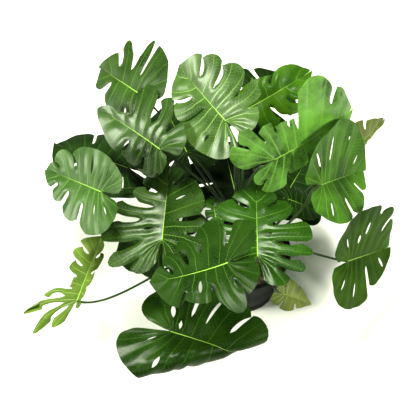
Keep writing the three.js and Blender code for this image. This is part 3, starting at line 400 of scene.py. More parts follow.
def ray_root(leaf, s):
    """How far along the midrib the ray at s starts."""
    return RAY_END * leaf["length"] * max((s - RAY_START) / (1 - RAY_START), 0) ** RAY_POWER


def flat_point(leaf, side, s, t):
    """Point of a flat half blade: s from the notch (0) to the tip (1), t from midrib to margin."""
    angle = (180 - NOTCH_ANGLE) * (1 - s)
    radius = outline_radius(angle) * leaf["length"]
    edge_x = radius * math.cos(angle * RAD)
    edge_y = radius * math.sin(angle * RAD) * leaf["wide"][side]
    root_x = ray_root(leaf, s)
    bend_x = between(root_x, edge_x, RAY_BEND[0])
    bend_y = edge_y * RAY_BEND[1]
    u = 1 - t
    return u * u * root_x + 2 * t * u * bend_x + t * t * edge_x, 2 * t * u * bend_y + t * t * edge_y


def bent_point(leaf, side, x, y):
    """Folds the half up from the midrib, curls its margin down and lets the midrib droop."""
    fold = leaf["fold"][side] * RAD
    curl = leaf["curl"][side] * RAD / (CURL_SPAN * leaf["length"])
    droop = leaf["droop"] * RAD
    out, up = y * math.cos(fold), y * math.sin(fold)
    if abs(curl) > 1e-9:
        out = (math.sin(fold) - math.sin(fold - curl * y)) / curl
        up = (math.cos(fold - curl * y) - math.cos(fold)) / curl
    along = x if x > 0 else x / 2
    rest = x - along
    angle = droop * along / leaf["length"]
    mid_x, mid_z = along, 0.0
    if abs(droop) > 1e-9:
        bow = leaf["length"] / droop
        mid_x, mid_z = bow * math.sin(angle), -bow * (1 - math.cos(angle))
    sideways = out if side == LEFT else -out
    twist = leaf.get("twist", 0) * RAD * x / leaf["length"]
    across = sideways * math.cos(twist) - up * math.sin(twist)
    up = sideways * math.sin(twist) + up * math.cos(twist)
    mid_x += rest * math.cos(angle)
    mid_z -= rest * math.sin(angle)
    point = Vector((mid_x + up * math.sin(angle), across, mid_z + up * math.cos(angle)))
    return creased_point(point, **leaf["crease"]) if "crease" in leaf else point


def creased_point(point, at, turn, angle, radius):
    """Folds what lies past a crease down and under."""
    line = Vector((math.cos(turn * RAD), math.sin(turn * RAD), 0))
    past = Vector((line.y, -line.x, 0))
    offset = Vector((point.x - at, point.y, 0))
    distance = offset.dot(past)
    if distance <= 0:
        return point
    bend = min(distance / radius, angle * RAD)
    straight = distance - bend * radius
    reach = radius * math.sin(bend) + straight * math.cos(bend) + point.z * math.sin(bend)
    height = -radius * (1 - math.cos(bend)) - straight * math.sin(bend) + point.z * math.cos(bend)
    return Vector((at, 0, height)) + line * offset.dot(line) + past * reach


def face_normal(leaf, side, x, y):
    """Upward normal of the bent blade at a flat point."""
    step = 0.5
    ahead = bent_point(leaf, side, x + step, y) - bent_point(leaf, side, x - step, y)
    out = bent_point(leaf, side, x, y + step) - bent_point(leaf, side, x, y - step)
    normal = ahead.cross(out) if side == LEFT else out.cross(ahead)
    return normal.normalized()


def leaf_matrix(leaf):
    """The leaf's own frame: x along the midrib, y to its left, z out of its upper face."""
    heading, pitch, roll = (leaf[k] * RAD for k in ("heading", "pitch", "roll"))
    along = Vector((math.cos(pitch) * math.cos(heading), math.cos(pitch) * math.sin(heading),
                    math.sin(pitch)))
    left = Matrix.Rotation(roll, 3, along) @ Vector((-math.sin(heading), math.cos(heading), 0))
    return Matrix((along, left, along.cross(left))).transposed().to_4x4()


def half_cut(cut, t):
    """Half the width of a cut at t."""
    _, inner, outer, inner_width, outer_width = cut
    if t <= inner or t > outer:
        return 0.0
    along = (t - inner) / (outer - inner)
    if outer >= 1:
        round_end = math.sin(min(1, along / SLOT_ROUND) * math.pi / 2)
        return between(inner_width, outer_width, along) * round_end / 2
    return inner_width * math.sin(math.pi * along) ** HOLE_POWER / 2


def cut_step(leaf, side, cut, t):
    """Half the width of a cut as a step of s."""
    step = 0.01
    x1, y1 = flat_point(leaf, side, cut[0] - step, t)
    x2, y2 = flat_point(leaf, side, cut[0] + step, t)
    return half_cut(cut, t) / max(math.hypot(x2 - x1, y2 - y1) / (2 * step), 1)


def is_slot(cut):
    return cut[2] == 1


def quilt(leaf, across, t, near_open, far_open):
    """Height of the blade over its vein lines: low at each vein, and rolled down at an open edge."""
    swell = QUILT * leaf["length"] / GROWN_LENGTH
    swell *= smoothstep(t, 0, 0.25) * (1 - 0.4 * smoothstep(t, 0.6, 1))
    from_vein = abs(2 * across - 1)
    closed = math.sin(math.pi * (across - 0.5)) ** 2
    opened = 0.75 * (math.sin(math.pi * from_vein) - from_vein ** 3)
    return swell * between(closed, opened, near_open if across < 0.5 else far_open)


def waves(leaf, s, t, side):
    """Slow and quick rise and fall of the margin, different on each leaf and side."""
    phase = leaf["length"] * 0.37 + (1.7 if side == LEFT else 0)
    slow = math.sin(9 * s + phase) * (0.4 + 0.6 * t) * t
    quick = math.sin(23 * s + 2.3 * phase) * t ** 3
    return (SLOW_WAVE * slow + QUICK_WAVE * quick) * leaf["length"] / GROWN_LENGTH


def openness(cut, t):
    """How far the edge along a cut is free at t: 0 where the blade goes on, 1 where it ends."""
    if cut[0] == 0:
        return smoothstep(t, 0.05, 0.3)
    if cut[0] == 1:
        return 1.0
    return smoothstep(t, cut[1] - 0.1, cut[1] + 0.1) if is_slot(cut) else 0.0


def lobe_root(edges, k):
    """Where the lobe that holds a stretch of margin comes free: the inner end of its slots."""
    before, after = k, k + 1
    while before > 0 and not is_slot(edges[before]):
        before -= 1
    while after < len(edges) - 1 and not is_slot(edges[after]):
        after += 1
    return max(LOBE_ROOT, *(cut[1] if is_slot(cut) else 0 for cut in (edges[before], edges[after])))


# Mesh of a blade

Corner = namedtuple("Corner", "vert x y middle normal")


class Sheet:
    """The upper face of one half blade, as a growing mesh with its two sets of coordinates."""

    def __init__(self, leaf, side):
        self.leaf, self.side = leaf, side
        self.bm = bmesh.new()
        self.uv_vein = self.bm.loops.layers.uv.new("vein")
        self.uv_flat = self.bm.loops.layers.uv.new("flat")
        self.known = {}

    def corner(self, s, t, lift, drop):
        """The point at s and t, raised by lift and sunk by drop; points in one place are one."""
        x, y = flat_point(self.leaf, self.side, s, t)
        key = (round(x, 3), round(y, 3), round(drop, 2))
        if key not in self.known:
            normal = face_normal(self.leaf, self.side, x, y)
            middle = bent_point(self.leaf, self.side, x, y)
            middle += normal * (lift + waves(self.leaf, s, t, self.side))
            middle.z -= drop
            vert = self.bm.verts.new((middle + normal * BLADE / 2) * MM)
            self.known[key] = Corner(vert, x, y, middle, normal)
        return self.known[key]

    def face(self, ring):
        """A face round a ring of (corner, distance from the vein, row share), without repeats."""
        distinct = []
        for item in ring:
            if all(item[0] is not other[0] for other in distinct):
                distinct.append(item)
        if len(distinct) < 3:
            return
        if self.side == RIGHT:
            distinct.reverse()
        face = self.bm.faces.new([corner.vert for corner, _, _ in distinct])
        face.smooth = True
        for loop, (corner, offset, t) in zip(face.loops, distinct):
            loop[self.uv_vein].uv = (offset / 10, t)
            loop[self.uv_flat].uv = (corner.x / 100, (corner.y if self.side == LEFT else -corner.y) / 100)

    def thicken(self):
        """Gives the sheet its lower face and its cut edge, an even thickness apart."""
        bm = self.bm
        rims = [edge.link_loops[0] for edge in bm.edges if edge.is_boundary]
        rims = [(loop.vert, loop.link_loop_next.vert) for loop in rims]
        copied = bmesh.ops.duplicate(bm, geom=bm.verts[:] + bm.edges[:] + bm.faces[:])
        below = {corner.vert: copied["vert_map"][corner.vert] for corner in self.known.values()}
        for corner in self.known.values():
            below[corner.vert].co = corner.vert.co - corner.normal * BLADE * MM
        lower = [item for item in copied["geom"] if isinstance(item, bmesh.types.BMFace)]
        bmesh.ops.reverse_faces(bm, faces=lower)
        for face in lower:
            face.material_index = 1
        for a, b in rims:
            face = bm.faces.new((b, a, below[a], below[b]))
            face.smooth = True
            for loop in face.loops:
                loop[self.uv_vein].uv = (2, 0.5)
                loop[self.uv_flat].uv = (0.5, 0.5)


def lobe_grid(sheet, near, far, shape, root, sectors):
    """Rows of corners, from midrib to margin, of the stretch between two cuts."""
    wanted, dip, sway, rounding = shape
    reach = max(wanted, root + SHORTEST_LOBE)
    rounding *= min((reach - root) / (1 - root), 1)
    columns = sectors * SECTOR_COLUMNS
    grid = []
    for row in range(ROWS + 1):
        t = row / ROWS
        start = near[0] + cut_step(sheet.leaf, sheet.side, near, t)
        end = far[0] - cut_step(sheet.leaf, sheet.side, far, t)
        line = []
        for column in range(columns + 1):
            across = column / columns
            beside = near if across < 0.5 else far
            rounded = 0.0
            if is_slot(beside) and across != 0.5:
                rounded = rounding * (2 * across - 1) ** 2 * smoothstep(t, max(0.5, beside[1]), 1)
            s = between(start, end, across)
            out = max((t - root) / (1 - root), 0)
            loose = out * (1 - smoothstep(s, TIP_HOLD, 1))
            free = out * loose
            sector = min(column // SECTOR_COLUMNS, sectors - 1)
            within = column / SECTOR_COLUMNS - sector
            near_open = openness(near, t) if sector == 0 else 0.0
            far_open = openness(far, t) if sector == sectors - 1 else 0.0
            lift = quilt(sheet.leaf, within, t, near_open, far_open)
            if far[0] == 1 and column == columns:
                lift = 0.0
            line.append(sheet.corner(min(s + sway * free, 1), (t + (reach - 1) * loose) * (1 - rounded),
                                     lift, dip * free))
        grid.append(line)
    return grid


def lobe_faces(sheet, grid, sectors):
    """Faces between the rows, with the distance from the vein in the middle of each sector."""
    for row in range(ROWS):
        for column in range(sectors * SECTOR_COLUMNS):
            sector = column // SECTOR_COLUMNS
            ring = []
            for r, c in ((row, column), (row, column + 1), (row + 1, column + 1), (row + 1, column)):
                first = grid[r][sector * SECTOR_COLUMNS]
                last = grid[r][(sector + 1) * SECTOR_COLUMNS]
                width = math.hypot(last.x - first.x, last.y - first.y)
                ring.append((grid[r][c], (c / SECTOR_COLUMNS - sector - 0.5) * width, r / ROWS))
            sheet.face(ring)


def half_blade(leaf, side):
    """One half of a blade with its cuts, and the corners along each of its side veins."""
    sheet = Sheet(leaf, side)
    whole = [2, 2, 0, 0]
    cuts = [cut if len(cut) == 5 else [*cut, 0] for cut in leaf["left" if side == LEFT else "right"]]
    edges = [[0, *whole], *cuts, [1, *whole]]
    shapes = leaf["lobes"][side] if "lobes" in leaf else []
    veins = []
    lobe = 0
    for k, (near, far) in enumerate(zip(edges, edges[1:])):
        lobe += is_slot(near)
        shape = shapes[lobe] if lobe < len(shapes) else PLAIN
        sectors = max(1, round((far[0] - near[0]) / VEIN_SPACING))
        grid = lobe_grid(sheet, near, far, shape, lobe_root(edges, k), sectors)
        for sector in range(sectors):
            middle = sector * SECTOR_COLUMNS + SECTOR_COLUMNS // 2
            veins.append([grid[row][middle] for row in range(0, ROWS - 1, 2)])
        lobe_faces(sheet, grid, sectors)
    sheet.thicken()
    return sheet.bm, veins


def mark_sharp(bm, limit):
    for edge in bm.edges:
        if len(edge.link_faces) == 2 and edge.calc_face_angle(0) > limit * RAD:
            edge.smooth = False


def join(bm, part):
    """Moves a finished part into a mesh under construction."""
    mesh = bpy.data.meshes.new("part")
    part.to_mesh(mesh)
    part.free()
    bm.from_mesh(mesh)
    bpy.data.meshes.remove(mesh)


def tube(bm, points, radii, sides, material_index):
    """A round tube with closed ends: a circle extruded along points in metres."""
    last = len(points) - 1
    across = Vector((1, 0, 0)) if abs((points[1] - points[0]).normalized().x) < 0.8 else Vector((0, 1, 0))
    placed = Matrix.Identity(4)
    faces = []
    for i, (point, radius) in enumerate(zip(points, radii)):
        tangent = (points[min(i + 1, last)] - points[max(i - 1, 0)]).normalized()
        up = tangent.cross(across).normalized()
        across = up.cross(tangent).normalized()
        place = Matrix((-up * radius, across * radius, tangent * radius)).transposed().to_4x4()
        place.translation = point
        if i == 0:
            made = bmesh.ops.create_circle(bm, cap_ends=True, segments=sides, radius=1, matrix=place)
            ring = made["verts"]
            faces += ring[0].link_faces
            edges = list(faces[0].edges)
        else:
            made = bmesh.ops.extrude_edge_only(bm, edges=edges)["geom"]
            ring = [item for item in made if isinstance(item, bmesh.types.BMVert)]
            edges = [item for item in made if isinstance(item, bmesh.types.BMEdge)]
            faces += [item for item in made if isinstance(item, bmesh.types.BMFace)]
            bmesh.ops.transform(bm, matrix=place @ placed.inverted(), verts=ring)
        placed = place
    faces += bmesh.ops.edgeloop_fill(bm, edges=edges)["faces"]
    for face in faces:
        face.material_index = material_index
        face.smooth = True


# Stalks

def catmull_rom(points, steps):
    """Points of a smooth curve that passes through the given points."""
    out = []
    count = len(points) - 1
    for i in range(steps + 1):
        place = i / steps * count
        k = min(int(place), count - 1)
        u = place - k
        p1, p2 = points[k], points[k + 1]
        p0 = points[k - 1] if k > 0 else p1 * 2 - p2
        p3 = points[k + 2] if k + 2 <= count else p2 * 2 - p1
        d0, d1, d2 = (max((b - a).length, 1e-6) ** 0.5 for a, b in ((p0, p1), (p1, p2), (p2, p3)))
        m1 = ((p1 - p0) / d0 - (p2 - p0) / (d0 + d1) + (p2 - p1) / d1) * d1
        m2 = ((p2 - p1) / d1 - (p3 - p1) / (d1 + d2) + (p3 - p2) / d2) * d1
        u2, u3 = u * u, u ** 3
        out.append(p1 * (2 * u3 - 3 * u2 + 1) + m1 * (u3 - 2 * u2 + u)
                   + p2 * (3 * u2 - 2 * u3) + m2 * (u3 - u2))
    return out


def bezier(points, steps):
    """Points of the smooth curve that four points pull."""
    a, b, c, d = points
    out = []
    for i in range(steps + 1):
        u = i / steps
        v = 1 - u
        out.append(a * v ** 3 + b * 3 * v * v * u + c * 3 * v * u * u + d * u ** 3)
    return out


def even(points, steps):
    """The same path with evenly spaced points, and its length."""
    lengths = [0.0]
    for a, b in zip(points, points[1:]):
        lengths.append(lengths[-1] + (b - a).length)
    out = []
    k = 0
    for i in range(steps + 1):
        at = lengths[-1] * i / steps
        while k < len(points) - 2 and lengths[k + 1] < at:
            k += 1
        span = max(lengths[k + 1] - lengths[k], 1e-9)
        out.append(points[k].lerp(points[k + 1], min((at - lengths[k]) / span, 1)))
    return out, lengths[-1]


def stalk_line(leaf, matrix):
    """The stalk's middle line, from inside its stem to the blade's notch, and its length."""
    stem = STEMS[leaf["stem"]]
    up = leaf["up"]
    start = Vector((stem["x"] + stem["lean"][0] * up, stem["y"] + stem["lean"][1] * up, SOIL_TOP + up))
    end = Vector(leaf["base"])
    span = end - start
    rise = leaf.get("rise", STALK_RISE)
    outward = Vector((span.x, span.y, 0)).normalized()
    leave = (outward * (1 - rise * 0.6) + Vector((0, 0, rise))).normalized()
    along, face = matrix.col[0].to_3d(), matrix.col[2].to_3d()
    arrive = (span.normalized() + along * 0.55 + face * 0.35).normalized()
    if "via" in leaf:
        passed = [start, start + leave * span.length * 0.12, *map(Vector, leaf["via"]),
                  end - arrive * 28, end]
        return even(catmull_rom(passed, PATH_STEPS), STALK_STEPS)
    pulled = [start, start + leave * span.length * 0.36, end - arrive * span.length * 0.3, end]
    return even(bezier(pulled, PATH_STEPS), STALK_STEPS)


def stalk_radius(at, length):
    """Radius of a stalk at a distance from its stem: a sheath at its foot, a knee at its blade."""
    radius = between(STALK_RADIUS, STALK_TIP_RADIUS, at / length)
    radius += (SHEATH_RADIUS - STALK_RADIUS) * (1 - smoothstep(at, SHEATH_START, SHEATH_LENGTH))
    knee = smoothstep(at, length - KNEE_LENGTH - KNEE_BLEND, length - KNEE_LENGTH)
    return between(radius, KNEE_RADIUS, knee)


# Leaves

def turn_outwards(bm):
    """Points the faces of each closed shell out, by the sign of the volume that it encloses."""
    bmesh.ops.recalc_face_normals(bm, faces=bm.faces)
    waiting = set(bm.faces)
    while waiting:
        shell = [waiting.pop()]
        for face in shell:
            beside = waiting.intersection(near for edge in face.edges for near in edge.link_faces)
            waiting -= beside
            shell += beside
        volume = 0.0
        for face in shell:
            first, *rest = (vert.co for vert in face.verts)
            volume += sum(first.dot(a.cross(b)) for a, b in zip(rest, rest[1:]))
        if volume < 0:
            bmesh.ops.reverse_faces(bm, faces=shell)


def mesh_object(name, bm, materials):
    """Makes a piece of a finished mesh; it rides on the plant's one body."""
    turn_outwards(bm)
    mesh = bpy.data.meshes.new(name)
    bm.to_mesh(mesh)
    bm.free()
    for material in materials:
        mesh.materials.append(material)
    piece = bpy.data.objects.new(name, mesh)
    scene.collection.objects.link(piece)
    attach(piece, "root")
    return piece


def add_vein(bm, line, size):
    """A side vein: a thin ridge under the blade, along a line of its corners."""
    last = len(line) - 1
    points = [(corner.middle - corner.normal * (BLADE / 2 + VEIN_BASE * 0.35 * (1 - i / last))) * MM
              for i, corner in enumerate(line)]
    radii = [size * between(VEIN_BASE, VEIN_TIP, i / last) * MM for i in range(last + 1)]
    tube(bm, points, radii, VEIN_SIDES, 2)


def add_midrib(bm, leaf, size):
    """The midrib, round above and below the blade, thinner to the tip."""
    points, radii = [], []
    for i in range(MIDRIB_STEPS + 1):
        x = leaf["length"] * MIDRIB_SHARE * i / MIDRIB_STEPS
        radius = size * between(MIDRIB_BASE, MIDRIB_TIP, (i / MIDRIB_STEPS) ** 0.8)
        sunk = face_normal(leaf, LEFT, x, 0.01) * radius * 0.45
        points.append((bent_point(leaf, LEFT, x, 0) - sunk) * MM)
        radii.append(radius * MM)
    tube(bm, points, radii, MIDRIB_SIDES, 3)


def add_stalk(bm, leaf, matrix, size):
    line, length = stalk_line(leaf, matrix)
    radii = [size * stalk_radius(length * i / STALK_STEPS, length) * MM for i in range(STALK_STEPS + 1)]
    tube(bm, [point * MM for point in line], radii, STALK_SIDES, 2)


def make_leaf(leaf, materials):
    """A leaf: blade with side veins and midrib, and its stalk."""
    matrix = leaf_matrix(leaf)
    size = YOUNG_SIZE if leaf["length"] < YOUNG_LENGTH else 1
    bm = bmesh.new()
    ribs = bmesh.new()
    for side in (LEFT, RIGHT):
        half, veins = half_blade(leaf, side)
        mark_sharp(half, 50)
        join(bm, half)
        for line in veins:
            add_vein(ribs, line, size)
    add_midrib(ribs, leaf, size)
    join(bm, ribs)
    bm.transform(Matrix.Translation(Vector(leaf["base"]) * MM) @ matrix)
    stalk = bmesh.new()
    add_stalk(stalk, leaf, matrix, size)
    join(bm, stalk)
    piece = mesh_object(leaf["name"] + "_detail", bm, materials)
    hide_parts(leaf["name"])


# Materials

def new_material(name):
    material = bpy.data.materials.new(name)
    material.use_nodes = True
    tree = material.node_tree
    return material, tree, tree.nodes["Principled BSDF"]


def node(tree, kind, inputs=(), **settings):
    """A shader node with its settings; each input is a value or another node's output."""
    made = tree.nodes.new("ShaderNode" + kind)
    for key, value in settings.items():
        setattr(made, key, value)
    for key, value in dict(inputs).items():
        if isinstance(value, bpy.types.NodeSocket):
            tree.links.new(value, made.inputs[key])
        else:
            made.inputs[key].default_value = value
    return made


def ramp(tree, value, stops):
    made = node(tree, "ValToRGB", {"Fac": value})
    elements = made.color_ramp.elements
    for i, (place, colour) in enumerate(stops):
        element = elements[i] if i < 2 else elements.new(place)
        element.position = place
        element.color = (*colour, 1)
    return made.outputs["Color"]


def mix(tree, factor, first, second):
    """Mixes two colours, each given as numbers or as another node's output."""
    made = node(tree, "Mix", data_type="RGBA")
    for socket, value in (("Factor", factor), ("A", first), ("B", second)):
        target = next(s for s in made.inputs if s.name == socket and s.enabled)
        if isinstance(value, bpy.types.NodeSocket):
            tree.links.new(value, target)
        else:
            target.default_value = (*value, 1)
    return next(s for s in made.outputs if s.enabled)


def math_node(tree, operation, *values):
    return node(tree, "Math", dict(enumerate(values)), operation=operation).outputs[0]


def remap(tree, value, low, high, start=0.0, end=1.0):
    return node(tree, "MapRange", {0: value, 1: low, 2: high, 3: start, 4: end},
                interpolation_type="SMOOTHSTEP").outputs[0]


def noise_node(tree, vector, scale, detail=4, roughness=0.55):
    return node(tree, "TexNoise", {"Vector": vector, "Scale": scale, "Detail": detail,
                                   "Roughness": roughness}).outputs["Fac"]


def add_bump(tree, shader, height, strength, distance):
    bump = node(tree, "Bump", {"Height": height, "Strength": strength, "Distance": distance})
    tree.links.new(bump.outputs["Normal"], shader.inputs["Normal"])


def side_vein_mask(tree, off, t):
    """A line along the middle of each sector, thinner to the margin; off is in centimetres."""
    width = remap(tree, t, 0.0, 1.0, 0.085, 0.03)
    share = math_node(tree, "DIVIDE", off, width)
    line = math_node(tree, "SUBTRACT", 1.0, math_node(tree, "SMOOTH_MIN", 1.0, share, 0.4))
    return remap(tree, line, 0.0, 0.9)


def fine_vein_mask(tree, off, t, place):
    """Branches that slant off the side veins, with a faint net of cells between them."""
    wobble = math_node(tree, "MULTIPLY", noise_node(tree, place, 60.0, 2), 0.5)
    branch = math_node(tree, "SUBTRACT", math_node(tree, "MULTIPLY", t, 26.0),
                       math_node(tree, "MULTIPLY", off, 1.5))
    line = math_node(tree, "PINGPONG", math_node(tree, "ADD", branch, wobble), 1.0)
    cells = node(tree, "TexVoronoi", {"Vector": place, "Scale": 240.0}, feature="DISTANCE_TO_EDGE")
    net = remap(tree, cells.outputs["Distance"], 0.12, 0.0)
    return math_node(tree, "MAXIMUM", remap(tree, line, 0.16, 0.0), math_node(tree, "MULTIPLY", net, 0.35))


def new_group(name, outputs, inputs=()):
    group = bpy.data.node_groups.new(name, "ShaderNodeTree")
    for kind, names in (("INPUT", inputs), ("OUTPUT", outputs)):
        for socket in names:
            group.interface.new_socket(socket, in_out=kind, socket_type="NodeSocketFloat")
    return group


def put_out(group, values):
    """Links what a group works out to its named outputs."""
    out = group.nodes.new("NodeGroupOutput")
    for socket, value in values.items():
        group.links.new(value, out.inputs[socket])
    return group


def blade_pattern():
    """Masks that every blade shares: side veins, a paler band beside them that one kind strengthens as a
    painted highlight, fine veins, blotches and relief.
    """
    group = new_group("blade_pattern", ("Vein", "HaloAndSheen", "Fine", "Blotch", "Relief"))
    vein = node(group, "SeparateXYZ", {0: node(group, "UVMap", uv_map="vein").outputs[0]})
    off = math_node(group, "ABSOLUTE", vein.outputs[0])
    t = vein.outputs[1]
    place = node(group, "TexCoord").outputs["Object"]
    side = side_vein_mask(group, off, t)
    fine = fine_vein_mask(group, off, t, place)
    grain = noise_node(group, place, 420.0, 2)
    relief = math_node(group, "ADD", math_node(group, "MULTIPLY", fine, -0.6),
                       math_node(group, "MULTIPLY", grain, 0.25))
    relief = math_node(group, "ADD", relief, math_node(group, "MULTIPLY", side, -0.8))
    return put_out(group, {"Vein": side, "HaloAndSheen": remap(group, off, 0.55, 0.05), "Fine": fine,
                           "Blotch": noise_node(group, place, 11.0, 5, 0.6), "Relief": relief})


def fleck_pattern():
    """Slow streaks and small flecks, on stalks and midribs."""
    group = new_group("fleck_pattern", ("Streak", "Fleck"))
    place = node(group, "TexCoord").outputs["Object"]
    return put_out(group, {"Streak": noise_node(group, place, 18.0, 3),
                           "Fleck": noise_node(group, place, 260.0, 3, 0.7)})


def mottle_pattern():
    """Slow noise broken up by grain, at two scales, for bark, soil, plastic and the floor."""
    group = new_group("mottle_pattern", ("Tone", "Grain"), ("Scale", "Grain Scale"))
    given = group.nodes.new("NodeGroupInput").outputs
    place = node(group, "TexCoord").outputs["Object"]
    slow = noise_node(group, place, given["Scale"], 6, 0.65)
    grain = noise_node(group, place, given["Grain Scale"], 4, 0.6)
    tone = math_node(group, "ADD", math_node(group, "MULTIPLY", slow, 0.7),
                     math_node(group, "MULTIPLY", grain, 0.3))
    return put_out(group, {"Tone": tone, "Grain": grain})


def blade_material(name, deep, bright, vein, roughness, gloss, vein_halo_and_sheen=0.25):
    """A waxy blade: blotched green, paler along and beside its veins, which on one kind is a painted
    highlight, with the veins in low relief.
    """
    material, tree, shader = new_material(name)
    pattern = node(tree, "Group", node_tree=BLADE_PATTERN)
    base = ramp(tree, pattern.outputs["Blotch"], ((0.36, deep), (0.66, bright)))
    base = mix(tree, math_node(tree, "MULTIPLY", pattern.outputs["Fine"], 0.22), base, vein)
    base = mix(tree, math_node(tree, "MULTIPLY", pattern.outputs["HaloAndSheen"], vein_halo_and_sheen), base, bright)
    base = mix(tree, math_node(tree, "MULTIPLY", pattern.outputs["Vein"], 0.85), base, vein)
    tree.links.new(base, shader.inputs["Base Color"])
    tree.links.new(remap(tree, pattern.outputs["Blotch"], 0.3, 0.7, roughness - 0.05, roughness + 0.06),
                   shader.inputs["Roughness"])
    add_bump(tree, shader, pattern.outputs["Relief"], 0.35, 0.0006)
    shader.inputs["Specular IOR Level"].default_value = gloss
    shader.inputs["Coat Weight"].default_value = gloss * 0.3
    shader.inputs["Coat Roughness"].default_value = 0.22
    return material


def stalk_material(name, dark, pale):
    """Green stalks and ribs with pale flecks and fine streaks."""
    material, tree, shader = new_material(name)
    pattern = node(tree, "Group", node_tree=FLECK_PATTERN)
    fleck = pattern.outputs["Fleck"]
    tint = ramp(tree, pattern.outputs["Streak"], ((0.35, dark), (0.68, pale)))
    tint = mix(tree, remap(tree, fleck, 0.55, 0.72, 0.0, 0.5), tint, pale)
    tree.links.new(tint, shader.inputs["Base Color"])
    tree.links.new(remap(tree, fleck, 0.3, 0.7, 0.36, 0.52), shader.inputs["Roughness"])
    add_bump(tree, shader, fleck, 0.25, 0.0004)
    shader.inputs["Specular IOR Level"].default_value = 0.2
    return material


def mottled_material(name, stops, scale, bump, roughness, grain=6.0, gloss=0.5):
    """A tone that drifts, broken up by a finer grain, which also gives the relief."""
    material, tree, shader = new_material(name)
    pattern = node(tree, "Group", {"Scale": scale, "Grain Scale": scale * grain}, node_tree=MOTTLE_PATTERN)
    tree.links.new(ramp(tree, pattern.outputs["Tone"], stops), shader.inputs["Base Color"])
    tree.links.new(remap(tree, pattern.outputs["Grain"], 0.3, 0.7, *roughness), shader.inputs["Roughness"])
    shader.inputs["Specular IOR Level"].default_value = gloss
    add_bump(tree, shader, pattern.outputs["Grain"], *bump)
    return material


BLADE_PATTERN = blade_pattern()
FLECK_PATTERN = fleck_pattern()
MOTTLE_PATTERN = mottle_pattern()

# Finish of each kind of blade: its deepest and brightest green, its veins, roughness, gloss, and
# for one kind how much of the brighter green lies beside the veins, which there is a painted highlight
VEIN_GREEN = (0.16, 0.32, 0.045)
VEIN_PALE = (0.3, 0.5, 0.12)
VEIN_DIM = (0.075, 0.17, 0.02)
# Veins of the inner kind, as dark as the painted shade they lie in
VEIN_IN_SHADE = (0.01, 0.025, 0.005)
VEIN_YOUNG = (0.36, 0.46, 0.13)
VEIN_OLIVE = (0.35, 0.38, 0.16)
VEIN_UNDER = (0.25, 0.4, 0.12)
FINISHES = {
    "green": ((0.0038, 0.013, 0.0012), (0.02, 0.05, 0.0066), VEIN_GREEN, 0.3, 0.26),
    "light": ((0.013, 0.037, 0.0045), (0.056, 0.11, 0.021), VEIN_PALE, 0.32, 0.28),
    # The bright kind has more of its brighter green beside the veins, as a painted highlight along its folds
    "bright": ((0.011, 0.05, 0.0027), (0.15, 0.37, 0.044), VEIN_PALE, 0.3, 0.2, 0.35),
    "fresh": ((0.011, 0.033, 0.0042), (0.032, 0.077, 0.013), VEIN_GREEN, 0.34, 0.16),
    "soft": ((0.013, 0.048, 0.0025), (0.055, 0.155, 0.0105), VEIN_PALE, 0.4, 0.03),
    "shade": ((0.0094, 0.029, 0.0017), (0.032, 0.077, 0.0054), VEIN_DIM, 0.45, 0.02),
    "rich": ((0.0037, 0.014, 0.0012), (0.017, 0.042, 0.0049), VEIN_GREEN, 0.28, 0.16),
    "glossy": ((0.0024, 0.019, 0.0002), (0.013, 0.055, 0.0005), VEIN_GREEN, 0.24, 0.14),
    "vivid": ((0.012, 0.056, 0.0012), (0.05, 0.13, 0.0031), VEIN_GREEN, 0.26, 0.14),
    "deep": ((0.0029, 0.014, 0.0006), (0.011, 0.034, 0.0017), VEIN_DIM, 0.3, 0.1),
    # The dark and inner kinds are darkened as painted shade, for the leaves inside and behind the plant; the
    # nearly black inner one paints the shade at its heart
    "dark": ((0.0015, 0.0076, 0.0008), (0.0062, 0.021, 0.0023), VEIN_DIM, 0.5, 0.06),
    "inner": ((0.0007, 0.0035, 0.0007), (0.0021, 0.007, 0.0007), VEIN_IN_SHADE, 0.5, 0.06),
    "young": ((0.043, 0.093, 0.0062), (0.12, 0.19, 0.019), VEIN_YOUNG, 0.38, 0.2),
    "olive": ((0.053, 0.073, 0.013), (0.13, 0.15, 0.033), VEIN_OLIVE, 0.45, 0.15),
    "underside": ((0.06, 0.14, 0.02), (0.1, 0.21, 0.04), VEIN_UNDER, 0.5, 0.3),
}
# The kind each leaf wears; the leaves inside and behind the plant wear the painted shade of the dark and
# inner kinds
TONE = {
    "leaf_left": "fresh",
    "leaf_upper_left": "green",
    "leaf_top_left": "green",
    "leaf_top_middle": "light",
    "leaf_upper_right": "bright",
    "leaf_top_right": "vivid",
    "leaf_right": "soft",
    "leaf_lower_right": "shade",
    "leaf_middle_left": "rich",
    "leaf_middle_right": "glossy",
    "leaf_front_middle": "deep",
    "leaf_front_low": "deep",
    "leaf_behind_left": "dark",
    "leaf_young_pale": "young",
    "leaf_young_olive": "olive",
    "leaf_right_back": "olive",
    "leaf_small_dark": "dark",
    "leaf_small_bright": "glossy",
    "leaf_inner_left": "dark",
    "leaf_inner_right": "dark",
    "leaf_low_left": "dark",
    "leaf_low_back": "inner",
    "leaf_far_back": "dark",
}
BLADES = {tone: blade_material("leaf_" + tone, *finish) for tone, finish in FINISHES.items()}
# The stalks, which run through the plant's dark heart, are darkened as painted shade; the side veins under
# the blades wear the same material
STALK_IN_SHADE = stalk_material("stalk", (0.006, 0.016, 0.002), (0.022, 0.05, 0.007))
RIB = stalk_material("midrib", (0.22, 0.42, 0.04), (0.36, 0.58, 0.1))
STEM = mottled_material("stem_bark", ((0.3, (0.06, 0.05, 0.02)), (0.5, (0.12, 0.13, 0.045)),
                                      (0.7, (0.2, 0.23, 0.08))), 55.0, (0.6, 0.001), (0.55, 0.8))
